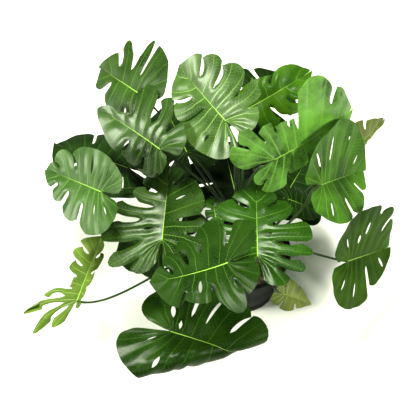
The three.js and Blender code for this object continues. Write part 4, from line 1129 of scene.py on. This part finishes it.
# Black plastic, set darker than black plastic is, as painted shade under the leaves
POT_BLACK_AND_SHADE = mottled_material("pot_plastic", ((0.3, (0.002, 0.003, 0.002)), (0.55, (0.004, 0.006, 0.004)),
                                       (0.75, (0.012, 0.013, 0.01))), 14.0, (0.12, 0.0004), (0.4, 0.55),
                       grain=30.0, gloss=0.02)
SOIL = mottled_material("soil_mix", ((0.3, (0.012, 0.008, 0.005)), (0.5, (0.035, 0.022, 0.014)),
                                     (0.72, (0.1, 0.065, 0.04))), 70.0, (0.9, 0.0015), (0.8, 0.98))
CHIP = mottled_material("bark_chips", ((0.3, (0.03, 0.018, 0.01)), (0.55, (0.09, 0.05, 0.028)),
                                       (0.75, (0.2, 0.13, 0.08))), 160.0, (0.8, 0.0006), (0.7, 0.95))
PERLITE = mottled_material("perlite", ((0.3, (0.5, 0.48, 0.43)), (0.7, (0.8, 0.78, 0.72))),
                           300.0, (0.5, 0.0004), (0.8, 0.95))
FLOOR = mottled_material("floor_white", ((0.3, (0.97, 0.9, 0.98)), (0.7, (0.99, 0.92, 1))),
                         2.0, (0.05, 0.0005), (0.6, 0.7))


# Stems, pot and soil

def spun(bm, profile, steps):
    """Spins a profile of radius and height, in millimetres, about the upright axis."""
    verts = [bm.verts.new((r * MM, 0, z * MM)) for r, z in profile]
    edges = [bm.edges.new(pair) for pair in zip(verts, verts[1:])]
    bmesh.ops.spin(bm, geom=verts + edges, cent=(0, 0, 0), axis=(0, 0, 1), angle=2 * math.pi,
                   steps=steps, use_merge=True)
    bmesh.ops.remove_doubles(bm, verts=bm.verts, dist=1e-6)


def smooth_faces(bm):
    for face in bm.faces:
        face.smooth = True


def stem_profile(stem):
    """Half section of a stem: thickest at the soil, with the rings that old leaves left."""
    bottom, top = SOIL_TOP - STEM_DEPTH, SOIL_TOP + stem["height"]
    shape = [(bottom, 0.6), (bottom + 10, 0.92), (SOIL_TOP + 8, 1.0), (top - 26, 0.86), (top - 8, 0.62),
             (top, 0.3)]
    profile = [(0, bottom)]
    for i in range(STEM_RINGS + 1):
        z = between(bottom, top, i / STEM_RINGS)
        k = 0
        while k < len(shape) - 2 and shape[k + 1][0] < z:
            k += 1
        (z0, r0), (z1, r1) = shape[k], shape[k + 1]
        radius = stem["radius"] * between(r0, r1, min(max((z - z0) / (z1 - z0), 0), 1))
        scar = math.exp(-(((z - SOIL_TOP) % SCAR_SPACING - 8) / 1.6) ** 2)
        profile.append((radius - SCAR_DEPTH * scar, z))
    profile.append((0, top))
    return profile


def make_stem(name, stem):
    bm = bmesh.new()
    spun(bm, stem_profile(stem), STEM_STEPS)
    lean_x, lean_y = stem["lean"]
    for vert in bm.verts:
        dent = noise.noise(vert.co * 90 + Vector((stem["x"], stem["y"], 0))) * 0.5 * MM
        outward = Vector((vert.co.x, vert.co.y, 0))
        vert.co += outward.normalized() * min(dent, 0)
        vert.co.x += (stem["x"] - lean_x * SOIL_TOP) * MM + lean_x * vert.co.z
        vert.co.y += (stem["y"] - lean_y * SOIL_TOP) * MM + lean_y * vert.co.z
    smooth_faces(bm)
    piece = mesh_object("stem_" + name + "_detail", bm, [STEM])
    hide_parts("stem_" + name)


def pot_radius(z):
    return between(POT_BASE_RADIUS, POT_TOP_RADIUS, z / POT_HEIGHT)


def pot_profile():
    """Half section of the pot, from under its base, up its wall and rim, to its inner floor."""
    band = POT_HEIGHT - RIM_HEIGHT
    rim = POT_TOP_RADIUS + RIM_OVERHANG
    mouth = POT_TOP_RADIUS - POT_WALL
    base = [(0, 0), (POT_BASE_RADIUS - 3 - FOOT_WIDTH, 0), (POT_BASE_RADIUS - 3, 0),
            (POT_BASE_RADIUS - 0.8, 0.7), (POT_BASE_RADIUS, CORNER)]
    wall = [(pot_radius(z) - inset, z) for z, inset in (
        (GROOVE_HEIGHT - 1.5, 0), (GROOVE_HEIGHT, GROOVE_DEPTH), (GROOVE_HEIGHT + 1.5, 0),
        (110, 0), (band - 1, 0), (band, -0.6))]
    step = [(pot_radius(band) + RIM_OVERHANG - 1, band + 1), (pot_radius(band) + RIM_OVERHANG, band + CORNER)]
    lip = [(rim, POT_HEIGHT - 3), (rim - 0.7, POT_HEIGHT - 0.8), (rim - CORNER, POT_HEIGHT),
           (mouth + 1, POT_HEIGHT), (mouth, POT_HEIGHT - 0.8)]
    inside = [(pot_radius(POT_WALL) - POT_WALL, POT_WALL), (0, POT_WALL)]
    return base + wall + step + lip + inside


def make_pot():
    bm = bmesh.new()
    spun(bm, pot_profile(), POT_STEPS)
    smooth_faces(bm)
    mark_sharp(bm, 40)
    piece = mesh_object("pot_detail", bm, [POT_BLACK_AND_SHADE])
    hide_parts("pot")


def soil_radius(z):
    return pot_radius(z) - POT_WALL - SOIL_CLEARANCE


def mound(r):
    """Height of the soil's mound at a radius, over its edge."""
    return (SOIL_MOUND - 1) * (1 - (r / soil_radius(SOIL_TOP)) ** 2)


def make_soil():
    bm = bmesh.new()
    wall = soil_radius(SOIL_TOP)
    profile = [(0, 4), (soil_radius(4), 4), (wall, SOIL_TOP - 3)]
    for i in range(1, SOIL_RINGS + 1):
        r = wall * (1 - i / SOIL_RINGS)
        profile.append((r, SOIL_TOP - 2 + mound(r)))
    spun(bm, profile, SOIL_STEPS)
    for vert in bm.verts:
        if vert.co.z > (SOIL_TOP - 2.5) * MM and vert.co.xy.length < (wall - 2) * MM:
            vert.co.z += noise.fractal(vert.co * 55, 1.0, 2.0, 4) * LUMP_HEIGHT * MM
    smooth_faces(bm)
    piece = mesh_object("soil_detail", bm, [SOIL])
    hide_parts("soil")


def make_chips(rng):
    """Bark chips and grains of perlite that lie in the top of the soil, clear of the stems."""
    bm = bmesh.new()
    for _ in range(CHIP_COUNT):
        r = (soil_radius(SOIL_TOP) - 6) * math.sqrt(rng.random())
        angle = rng.random() * 2 * math.pi
        x, y = r * math.cos(angle), r * math.sin(angle)
        if any(math.hypot(x - s["x"], y - s["y"]) < s["radius"] + 5 for s in STEMS.values()):
            continue
        size = rng.uniform(*CHIP_SIZES)
        white = rng.random() < PERLITE_SHARE
        turn = Matrix.Rotation(rng.random() * 6.3, 4, "Z") @ Matrix.Rotation(rng.uniform(-0.4, 0.4), 4, "X")
        shape = (1, 1, 0.9) if white else (1, rng.uniform(0.4, 0.8), rng.uniform(0.25, 0.4))
        size = size * 0.5 if white else size
        z = SOIL_TOP - 1.5 + mound(r) + size * shape[2] * 0.2
        chip = bmesh.ops.create_icosphere(bm, subdivisions=1, radius=size * MM)["verts"]
        lump = Vector((rng.random() * 9, rng.random() * 9, 0))
        for vert in chip:
            vert.co *= 1 + 0.35 * noise.noise(vert.co * 300 + lump)
        place = Matrix.Translation(Vector((x, y, z)) * MM) @ turn @ Matrix.Diagonal((*shape, 1))
        bmesh.ops.transform(bm, matrix=place, verts=chip)
        for face in {face for vert in chip for face in vert.link_faces}:
            face.material_index = 1 if white else 0
    piece = mesh_object("soil_chips", bm, [CHIP, PERLITE])


# Floor, lights and camera

def make_floor():
    bm = bmesh.new()
    bmesh.ops.create_grid(bm, x_segments=8, y_segments=8, size=6)
    mesh = bpy.data.meshes.new("floor")
    bm.to_mesh(mesh)
    bm.free()
    mesh.materials.append(FLOOR)
    floor = bpy.data.objects.new("floor", mesh)
    scene.collection.objects.link(floor)


def area_light(name, place, size, power):
    """A square lamp, aimed at the middle of the leaves and not seen itself."""
    light = bpy.data.lights.new(name, "AREA")
    light.energy = power
    light.size = size
    light.color = LAMP_COLOUR
    lamp = bpy.data.objects.new(name, light)
    lamp.location = place
    lamp.rotation_euler = (Vector(LAMP_TARGET) - Vector(place)).to_track_quat("-Z", "Y").to_euler()
    lamp.visible_camera = False
    scene.collection.objects.link(lamp)


def make_world():
    world = bpy.data.worlds.new("studio")
    world.use_nodes = True
    background = world.node_tree.nodes["Background"]
    background.inputs["Color"].default_value = (1, 1, 1, 1)
    background.inputs["Strength"].default_value = WORLD_STRENGTH
    scene.world = world
    scene.view_settings.view_transform = "Standard"


def make_camera():
    data = bpy.data.cameras.new("camera")
    data.sensor_width = SENSOR_WIDTH
    data.lens = SENSOR_WIDTH * FOCAL_PIXELS / IMAGE_SIZE
    camera = bpy.data.objects.new("camera", data)
    camera.location = CAMERA_PLACE
    camera.rotation_euler = ((90 - VIEW_DOWN) * RAD, 0, 0)
    scene.collection.objects.link(camera)
    scene.camera = camera


# The camera looks down at the plant from the front; a focal length is in pixels of the image
IMAGE_SIZE = 416
FOCAL_PIXELS = 814
SENSOR_WIDTH = 36
VIEW_DOWN = 55
CAMERA_PLACE = (-0.1075, -1.243, 2.182)
LAMP_COLOUR = (0.91, 1, 0.75)
LAMP_TARGET = (-0.06, 0, 0.4)
WORLD_STRENGTH = 0.13

for leaf in LEAVES:
    make_leaf(leaf, [BLADES[TONE[leaf["name"]]], BLADES["underside"], STALK_IN_SHADE, RIB])
for name, stem in STEMS.items():
    make_stem(name, stem)
make_pot()
make_soil()
make_chips(random.Random(7))
make_floor()
area_light("key", (-0.5, 0.8, 2.9), 0.7, 160)
area_light("side", (1.7, -1.0, 1.9), 0.5, 64)
area_light("front", (-0.5, -2.0, 2.5), 1.0, 16)
area_light("left", (-2.3, -0.6, 1.1), 0.7, 92)
make_world()
make_camera()
